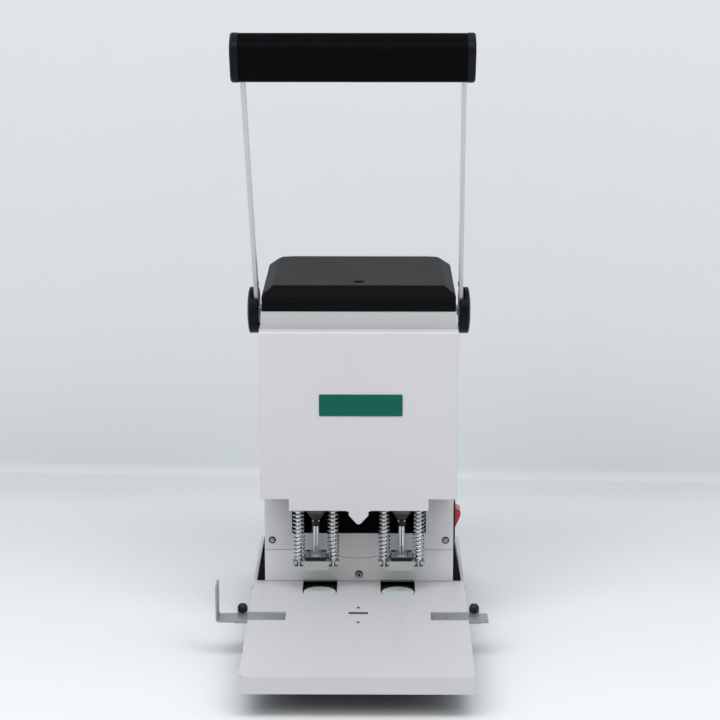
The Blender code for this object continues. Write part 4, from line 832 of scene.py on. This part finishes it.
def makeBody():
    for node, (look, slot, width) in shells.items():
        piece = copyOf(node, width, 2)
        if node == "paper_backstop":
            notchBackstop(piece)
        settle(piece, "machine", look, node, slot=slot)
        if node in inward:
            away = Vector(inward[node])
            repaint(piece, "blackAndShade", lambda middle, normal: normal.dot(away) > 0.9)
    drawer = copyOf("chip_drawer", 0.0005, 2)
    settle(drawer, "drawer", "greyPlastic", "chip_drawer", slot="grey_plastic")
    rocker = copyOf("power_rocker", 0.0008, 3, 15)
    settle(rocker, "rocker", "redPlastic", "power_rocker", slot="red_plastic")
    makeBodyScrews()
    print("body shell")


bodyScrews = {
    "column": {
        "x": 0.0822, "z": 0.041, "radius": 0.0024, "height": 0.0016, "shadeRing": (0.0034, 0.0004),
    },
    "stop": {
        "z": 0.0072, "radius": 0.0027, "height": 0.0026, "shadeRing": (0.0037, 0.0006),
        "socket": (0.0016, 0.0004), "socketOut": 0.00255,
    },
    "rear": {"x": 0.08, "levels": (0.252, 0.112), "radius": 0.0028, "height": 0.0014},
}


def makeBodyScrews():
    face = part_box("column_front_plate")[0].y
    size = bodyScrews["column"]
    for name, side in sides:
        place = (side * size["x"], face, size["z"])
        screw = makeScrew(f"{name}_column_screw", place, "Y", size["radius"], size["height"], flip=-1)
        settle(screw, "machine", "screwSteel")
        # black ring: painted shade of the recess round the column screw's head
        makeShadeDisc(f"{name}_column_shade_ring", place, *size["shadeRing"])
    size = bodyScrews["stop"]
    place = (0, face, size["z"])
    stop = makeScrew("backstop_screw", place, "Y", size["radius"], size["height"], "hexagon", flip=-1)
    settle(stop, "machine", "screwSteel")
    # black ring and black hexagon: painted shade round the backstop screw's head and inside its socket
    makeShadeDisc("backstop_shade_ring", place, *size["shadeRing"])
    makeShadeDisc("backstop_socket_shade", (0, face - size["socketOut"], size["z"]), *size["socket"], 6)
    size = bodyScrews["rear"]
    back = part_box("rear_cover")[1].y
    places = [(side * size["x"], back, z) for z in size["levels"] for side in (-1, 1)]
    for i, place in enumerate(places):
        screw = makeScrew(f"rear_screw_{i}", place, "Y", size["radius"], size["height"])
        settle(screw, "machine", "screwSteel")


coverEdge = {"depth": 0.0045, "bend": 0.0031, "skin": 0.0006, "above": 0.02, "width": 0.0011}


def makeFrontCover():
    cover = copyOf("front_cover", 0)
    low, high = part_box("front_cover")
    inner = high.x - coverEdge["skin"]
    bend = coverEdge["bend"]
    same = 0.00001

    def uprightCorner(first, second):
        # the front face's upright edges and the bend above them
        outside = min(abs(first.x), abs(second.x)) > inner and first.x * second.x > 0
        front = max(first.y, second.y) < low.y + coverEdge["depth"]
        joins = (first - second).length > 0.0001 and abs(first.x - second.x) < same
        onFront = min(first.y, second.y) < low.y + bend
        aboveSkirt = max(first.z, second.z) > low.z + coverEdge["above"]
        return outside and front and joins and onFront and aboveSkirt and (
            max(first.y, second.y) < low.y + same or min(first.z, second.z) > high.z - bend
        )

    bevelEdges(cover, uprightCorner, coverEdge["width"], 4)
    easeEdges(cover, 0.0003, 2, 40)
    smooth(cover)
    settle(cover, "machine", "bodyPaint", "front_cover", slot="white_paint")
    print("front cover")


lidShape = {
    "wallTop": 0.2830, "run": 0.010, "edge": 0.0022, "wall": 0.0022, "rearCorner": 0.012,
    "line": 0.0064, "lineHeight": 0.0005, "lineDepth": 0.0004,
    "screw": {
        "y": 0.0216, "radius": 0.0036, "height": 0.0014,
        "down": 0.0012, "hole": 0.0024, "recess": 0.00525,
    },
}


def lidLine(low, high):
    # a frame that cuts a fine line round the lid's wall
    level, deep = low.z + lidShape["line"], lidShape["lineDepth"]
    past, tall = 0.01, 0.01
    band = addBox(
        "cut", (low.x - past, low.y - past, level),
        (high.x + past, high.y + past, level + lidShape["lineHeight"]),
    )
    cutOut(band, addBox(
        "cut", (low.x + deep, low.y + deep, level - tall), (high.x - deep, high.y - deep, level + tall)
    ))
    return band


def makeLid():
    low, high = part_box("top_cover")
    run, wallTop = lidShape["run"], lidShape["wallTop"]
    lid = addBox("top_cover_look", low, (high.x, high.y, wallTop))
    pick(lid, "FACE", lambda middle, normal: normal.z > 0.9)
    bpy.ops.mesh.inset(thickness=run, depth=high.z - wallTop)
    leaveEdit()
    rear = high.y - run - 0.0005

    def rearCorner(first, second):
        along = abs(first.x - second.x) < run + 0.001 and abs(first.z - second.z) > 0.001
        return along and min(first.y, second.y) > rear

    bevelEdges(lid, rearCorner, lidShape["rearCorner"], 3)
    pick(lid, "FACE", lambda middle, normal: normal.z < -0.9)
    bpy.ops.mesh.delete(type="FACE")
    leaveEdit()
    easeEdges(lid, lidShape["edge"], 5, 32)
    modify(lid, "SOLIDIFY", thickness=lidShape["wall"], offset=-1)
    size = lidShape["screw"]
    top = (0, size["y"], high.z)
    recess = addRod("cut", size["recess"], top, 2 * size["down"])
    hole = addRod("cut", size["hole"], top, 10 * size["down"], sidesRound=32)
    cutOut(lid, recess, hole, lidLine(low, high))
    easeEdges(lid, 0.0002, 1, 45)
    smooth(lid)
    settle(lid, "machine", "lidPlastic", "top_cover", slot="black_plastic")
    place = (0, size["y"], high.z - size["down"])
    screw = makeScrew("top_cover_screw", place, "Z", size["radius"], size["height"])
    settle(screw, "machine", "blackAndShade")
    print("lid")


label = {"x": 0.002, "z": 0.1838, "width": 0.0765, "height": 0.0203, "thick": 0.0008, "corner": 0.0012}


def makeLabel():
    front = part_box("front_cover")[0].y
    plate = addBox(
        "green_plate",
        (label["x"] - label["width"] / 2, front - label["thick"], label["z"] - label["height"] / 2),
        (label["x"] + label["width"] / 2, front, label["z"] + label["height"] / 2),
    )
    bevelEdges(plate, lambda a, b: abs(a.y - b.y) > 0.0003, label["corner"], 6)
    easeEdges(plate, 0.00025, 2, 60)
    smooth(plate)
    settle(plate, "machine", "labelGreen")
    print("green plate, left plain")


# Press handle

handle = {
    "pivot": (0, 0.035, 0.262), "tilt": math.radians(29), "length": 0.281, "lean": 0.0042,
    "gripLength": 0.2074, "capLength": 0.0071, "halfHeight": 0.0210, "halfDepth": 0.0145,
    "corner": 0.0118, "ribDepth": 0.0004, "ribSlope": 0.00025, "capGap": 0.0003, "capEdge": 0.0024,
    "rivet": {"up": 0.0316, "radius": 0.00235, "height": 0.0007, "armInside": 0.0925},
}


def onHandle(piece):
    piece.rotation_euler = (handle["tilt"], 0, 0)
    piece.location = handle["pivot"]
    applyPlace(piece)


def gripBlock(name, nearX, farX, grow=0.0, segments=10):
    middle, lean = handle["length"], handle["lean"]
    deep, tall = handle["halfDepth"] + grow, handle["halfHeight"] + grow
    piece = addBox(name, (nearX - lean, -deep, middle - tall), (farX - lean, deep, middle + tall))
    bevelEdges(piece, lambda a, b: abs(a.x - b.x) > 0.001, handle["corner"], segments)
    return piece


def makeSleeve(half):
    # a ribbed sleeve: every second face round it is sunk
    sleeve = gripBlock("grip_sleeve_look", -half, half, -0.0002, 12)
    flat = 0.0035
    for axis, cuts in (("z", 12), ("y", 3)):
        def flatEdge(first, second):
            level = abs(first.x - second.x) < 0.0001
            return level and abs(getattr(first, axis) - getattr(second, axis)) > flat
        pick(sleeve, "EDGE", flatEdge)
        bpy.ops.mesh.subdivide(number_cuts=cuts)
        leaveEdit()
    sideFaces = sorted(
        (face for face in sleeve.data.polygons if abs(face.normal.x) < 0.5),
        key=lambda face: math.atan2(face.center.z - handle["length"], face.center.y),
    )
    grooves = {face.index for face in sideFaces[::2]}
    pick(sleeve, "FACE", lambda middle, normal: False)
    leaveEdit()
    for index in grooves:
        sleeve.data.polygons[index].select = True
    bpy.ops.object.mode_set(mode="EDIT")
    bpy.ops.mesh.inset(use_individual=True, thickness=handle["ribSlope"], depth=-handle["ribDepth"])
    leaveEdit()
    smooth(sleeve, 25)
    onHandle(sleeve)
    settle(sleeve, "handle", "gripRubber", "grip_sleeve", slot="grip_rubber")


def makeGrip():
    half, lean = handle["gripLength"] / 2, handle["lean"]
    inner = half - handle["capLength"]
    makeSleeve(inner - handle["capGap"])
    for name, side in sides:
        near, far = sorted((side * inner, side * half))
        cap = gripBlock(f"{name}_grip_cap_look", near, far, 0.0001)

        def outerEdge(first, second):
            return min(side * (first.x + lean), side * (second.x + lean)) > half - 0.0001

        bevelEdges(cap, outerEdge, handle["capEdge"], 5)
        easeEdges(cap, 0.0003, 2, 50)
        smooth(cap, 40)
        onHandle(cap)
        settle(cap, "handle", "blackPlastic", f"{name}_grip_cap", slot="black_plastic")
    print("grip")


def makeRivet(name, side):
    # a flat head inside the arm
    rivet = handle["rivet"]
    radius, height = rivet["radius"], side * rivet["height"]
    inside = side * rivet["armInside"] - handle["lean"] * rivet["up"] / handle["length"]
    head = lathe(f"{name}_arm_rivet", (inside, 0, rivet["up"]), [
        (radius, side * 0.0002), (radius, -height * 0.6),
        (radius * 0.8, -height * 0.92), (radius * 0.45, -height),
    ], "X", 32)
    onHandle(head)
    settle(head, "handle", "blackPlastic")


def makeHandle():
    makeGrip()
    for name, side in sides:
        arm = copyOf(f"{name}_arm", 0.0007, 3, 50)
        settle(arm, "handle", "armSteel", f"{name}_arm", slot="arm_steel")
        cap = copyOf(f"{name}_pivot_cap", 0.0006, 3, 40)
        settle(cap, "handle", "blackPlastic", f"{name}_pivot_cap", slot="black_plastic")
        makeRivet(name, side)
    dress("pinion_shaft", "turnedSteel")
    print("handle")


# Drill stations

def coil(name, centre, bottom, top, meanRadius, wireRadius, curls):
    # a ring of wire swept round the axis as one closed tube
    bpy.ops.object.select_all(action="DESELECT")
    bpy.ops.mesh.primitive_circle_add(
        vertices=12, radius=wireRadius, location=(meanRadius, 0, bottom + wireRadius),
        rotation=(math.pi / 2, 0, 0),
    )
    spring = added(name)
    rise = (top - bottom - 2 * wireRadius) / curls
    modify(
        spring, "SCREW", axis="Z", angle=2 * math.pi, iterations=curls, screw_offset=rise,
        steps=28, render_steps=28, use_smooth_shade=True,
    )
    bpy.ops.object.mode_set(mode="EDIT")
    bpy.ops.mesh.select_all(action="SELECT")
    bpy.ops.mesh.remove_doubles(threshold=0.000001)
    bpy.ops.mesh.fill_holes(sides=0)
    bpy.ops.mesh.select_all(action="SELECT")
    bpy.ops.mesh.normals_make_consistent(inside=False)
    leaveEdit()
    spring.location = (centre.x, centre.y, 0)
    applyPlace(spring)
    smooth(spring, 50)
    return spring


station = {
    "spring": {"mean": 0.0050, "wire": 0.00062, "curls": 17, "travel": 0.020},
    "returnSpring": {"mean": 0.0070, "wire": 0.0008, "curls": 11, "travel": 0.0231},
    "ear": {
        "below": 0.0052, "above": 0.0028, "near": 0.01205, "depth": 0.0044, "reach": 0.023,
        "past": 0.02,
    },
    "clip": {"hole": 0.00285, "radius": 0.0047, "opening": 0.0019, "height": 0.0034},
    "screw": {"offset": 0.0074, "y": -0.0086, "radius": 0.0025, "height": 0.0052},
    "slot": {"front": -0.0062, "past": 0.001, "above": 0.0002},
    "plateDrop": 0.0007, "rodDrop": 0.0002, "rodChamfer": 0.0007, "ease": 0.0004,
}


def makeFoot(name, drillX):
    unit = f"{name}_foot_unit"
    node = f"{name}_presser_foot"
    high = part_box(node)[1]
    ear, slot = station["ear"], station["slot"]
    bottom = high.z - ear["below"] - slot["past"]
    top = high.z - ear["above"] + slot["above"]
    foot = copyOf(node, 0)
    cutters = []
    for side in (-1, 1):
        near, far = sorted((drillX + side * ear["near"], drillX + side * ear["reach"]))
        for front, back in ((-ear["past"], -ear["depth"]), (ear["depth"], ear["past"])):
            cutters.append(addBox("cut", (near, front, bottom), (far, back, top)))
    for where in ("outer", "inner"):
        x = middleOf(f"{name}_{where}_rod").x
        wide = station["clip"]["opening"]
        cutters.append(addBox("cut", (x - wide, slot["front"], bottom), (x + wide, 0, top)))
    cutOut(foot, *cutters)
    easeEdges(foot, station["ease"], 2)
    smooth(foot)
    settle(foot, unit, "footSteel", node, slot="steel")
    plate = copyOf(f"{name}_foot_plate", 0)
    thinner = station["plateDrop"]
    pick(plate, "FACE", lambda middle, normal: normal.z > 0.9)
    bpy.ops.transform.translate(value=(0, 0, -thinner))
    leaveEdit()
    easeEdges(plate, 0.0003, 2)
    smooth(plate)
    settle(plate, unit, "blackSteel", f"{name}_foot_plate", slot="dark_steel")
    repaint(plate, "footSteel", lambda middle, normal: normal.z > 0.5)
    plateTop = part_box(f"{name}_foot_plate")[1].z - thinner
    screw = station["screw"]
    for i, side in enumerate((-1, 1)):
        place = (drillX + side * screw["offset"], screw["y"], plateTop)
        head = makeScrew(
            f"{name}_plate_screw_{i}", place, "Z", screw["radius"], screw["height"], "hexagon"
        )
        settle(head, unit, "greySteel")


def makeRod(name, where):
    unit = f"{name}_foot_unit"
    node = f"{name}_{where}_rod"
    low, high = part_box(node)
    bottom = low.z - station["rodDrop"]
    centre = middleOf(node)
    radius = (high.x - low.x) / 2
    chamfer, ease = station["rodChamfer"], station["ease"]
    rod = lathe(f"{node}_look", (centre.x, centre.y, 0), [
        (radius - chamfer, bottom), (radius, bottom + chamfer),
        (radius, high.z - ease), (radius - ease, high.z),
    ])
    settle(rod, unit, "brightSteel", node, slot="rod_steel")
    makeClip(f"{name}_{where}_clip", centre, bottom, unit)


def makeClip(name, centre, bottom, unit):
    # a ring in the rod's groove, open at its front
    clip = station["clip"]
    hole, radius, opening = clip["hole"], clip["radius"], clip["opening"]
    top = bottom + clip["height"]
    under, lowEdge = bottom + 0.0006, bottom + 0.001
    ring = lathe(name, (centre.x, centre.y, 0), [
        (hole, top), (hole, under), (radius - 0.0004, under), (radius, lowEdge),
        (radius, top - 0.0003), (radius - 0.0003, top), (hole, top),
    ], sidesRound=48, hollow=True)
    cutOut(ring, addBox(
        "cut", (centre.x - opening, -0.01, bottom), (centre.x + opening, 0, top + 0.001)
    ))
    smooth(ring)
    settle(ring, unit, "blackSteel")


def makeSpring(node, size, body):
    low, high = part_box(node)
    centre = middleOf(node)
    spring = coil(f"{node}_look", centre, low.z, high.z, size["mean"], size["wire"], size["curls"])
    settle(spring, body, "springSteel", node, slot="rod_steel")
    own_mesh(spring)


def makeStations():
    for name, side in sides:
        drillX = middleOf(f"{name}_hollow_drill").x
        makeFoot(name, drillX)
        for where in ("outer", "inner"):
            makeRod(name, where)
            makeSpring(
                f"{name}_{where}_spring", station["spring"], "drill_head"
            )
        makeSpring(f"{name}_return_spring", station["returnSpring"], "machine")
        makeSpindle(name, drillX)
    print("drill stations")


spindleShape = {
    "bore": 0.0033, "shaft": 0.006, "ease": 0.0004,
    "collar": {"radius": 0.0038, "top": 0.0700},
    "cone": {"nose": 0.0042, "top": 0.0772, "radius": 0.0097},
    "pulley": {"bottom": 0.156, "top": 0.166, "radius": 0.013},
    "dot": {"turn": 0.75, "down": 0.0012, "rings": (
        (0.0009, 0), (0.0009, 0.0007), (0.0007, 0.0009), (0.0004, 0.0009), (0.0003, 0.0006),
    )},
    "drill": {
        "radius": 0.003, "bore": 0.002, "deep": 0.03, "lip": 0.0002, "bevel": 0.0014, "edge": 0.0003,
    },
}


def makeSpindle(name, drillX):
    # collar and chuck cone below the head, shaft and pulley above it
    low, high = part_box(f"{name}_spindle")
    collar, cone, pulley = (spindleShape[part] for part in ("collar", "cone", "pulley"))
    bore, shaft, ease = (spindleShape[part] for part in ("bore", "shaft", "ease"))
    around, neck, wide = collar["radius"], collar["top"], pulley["radius"]
    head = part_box("head_casting")[0].z - 0.0003
    spindle = lathe(f"{name}_spindle_look", (drillX, 0, 0), [
        (bore, neck), (bore, low.z), (around - ease, low.z), (around, low.z + ease),
        (around, neck - 0.0003), (around - 0.0003, neck), (cone["nose"], neck + 0.0002),
        (cone["radius"] - ease, cone["top"] - ease), (cone["radius"], cone["top"]),
        (cone["radius"], head), (shaft, head), (shaft, pulley["bottom"]),
        (wide - ease, pulley["bottom"]), (wide, pulley["bottom"] + ease),
        (wide, pulley["top"] - ease), (wide - ease, pulley["top"]), (shaft, pulley["top"]),
        (shaft, high.z - ease), (shaft - ease, high.z),
    ])
    settle(spindle, f"{name}_drill_unit", "darkSteel", f"{name}_spindle", slot="dark_steel")
    repaint(spindle, "blackSteel", lambda middle, normal: middle.z < neck)
    dot = spindleShape["dot"]
    reach = around - 0.0003
    for i, turn in enumerate((-dot["turn"], dot["turn"])):
        angle = -math.pi / 2 + turn
        screw = lathe(f"{name}_collar_screw_{i}", (0, 0, 0), dot["rings"], "X", 20)
        screw.rotation_euler = (0, 0, angle)
        screw.location = (
            drillX + reach * math.cos(angle), reach * math.sin(angle), neck - dot["down"]
        )
        applyPlace(screw)
        settle(screw, f"{name}_drill_unit", "brightSteel")
    makeDrill(name, drillX)


def makeDrill(name, drillX):
    # hollow, with a cutting edge at its lower end
    low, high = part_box(f"{name}_hollow_drill")
    size = spindleShape["drill"]
    bore, radius = size["bore"], size["radius"]
    drill = lathe(f"{name}_hollow_drill_look", (drillX, 0, 0), [
        (bore, low.z + size["deep"]), (bore, low.z), (bore + size["lip"], low.z),
        (radius, low.z + size["bevel"]),
        (radius, high.z - size["edge"]), (radius - size["edge"], high.z),
    ])
    settle(drill, f"{name}_drill_unit", "drillSteel", f"{name}_hollow_drill", slot="rod_steel")


# What lies inside the body keeps its CAD shape

def dressInside():
    looks = {
        "head_casting": "castMetal", "top_bridge": "castMetal", "motor": "motorPaint",
        "motor_pulley": "turnedSteel", "drive_belt": "footRubber", "head_rack": "turnedSteel",
        "left_guide_column": "brightSteel", "right_guide_column": "brightSteel",
    }
    for node, look in looks.items():
        dress(node, look)
    print("inside")


makeFinishes()
makeStudio()
makeTable()
makePads()
makeGuides()
makeBody()
makeFrontCover()
makeLid()
makeLabel()
makeHandle()
makeStations()
dressInside()
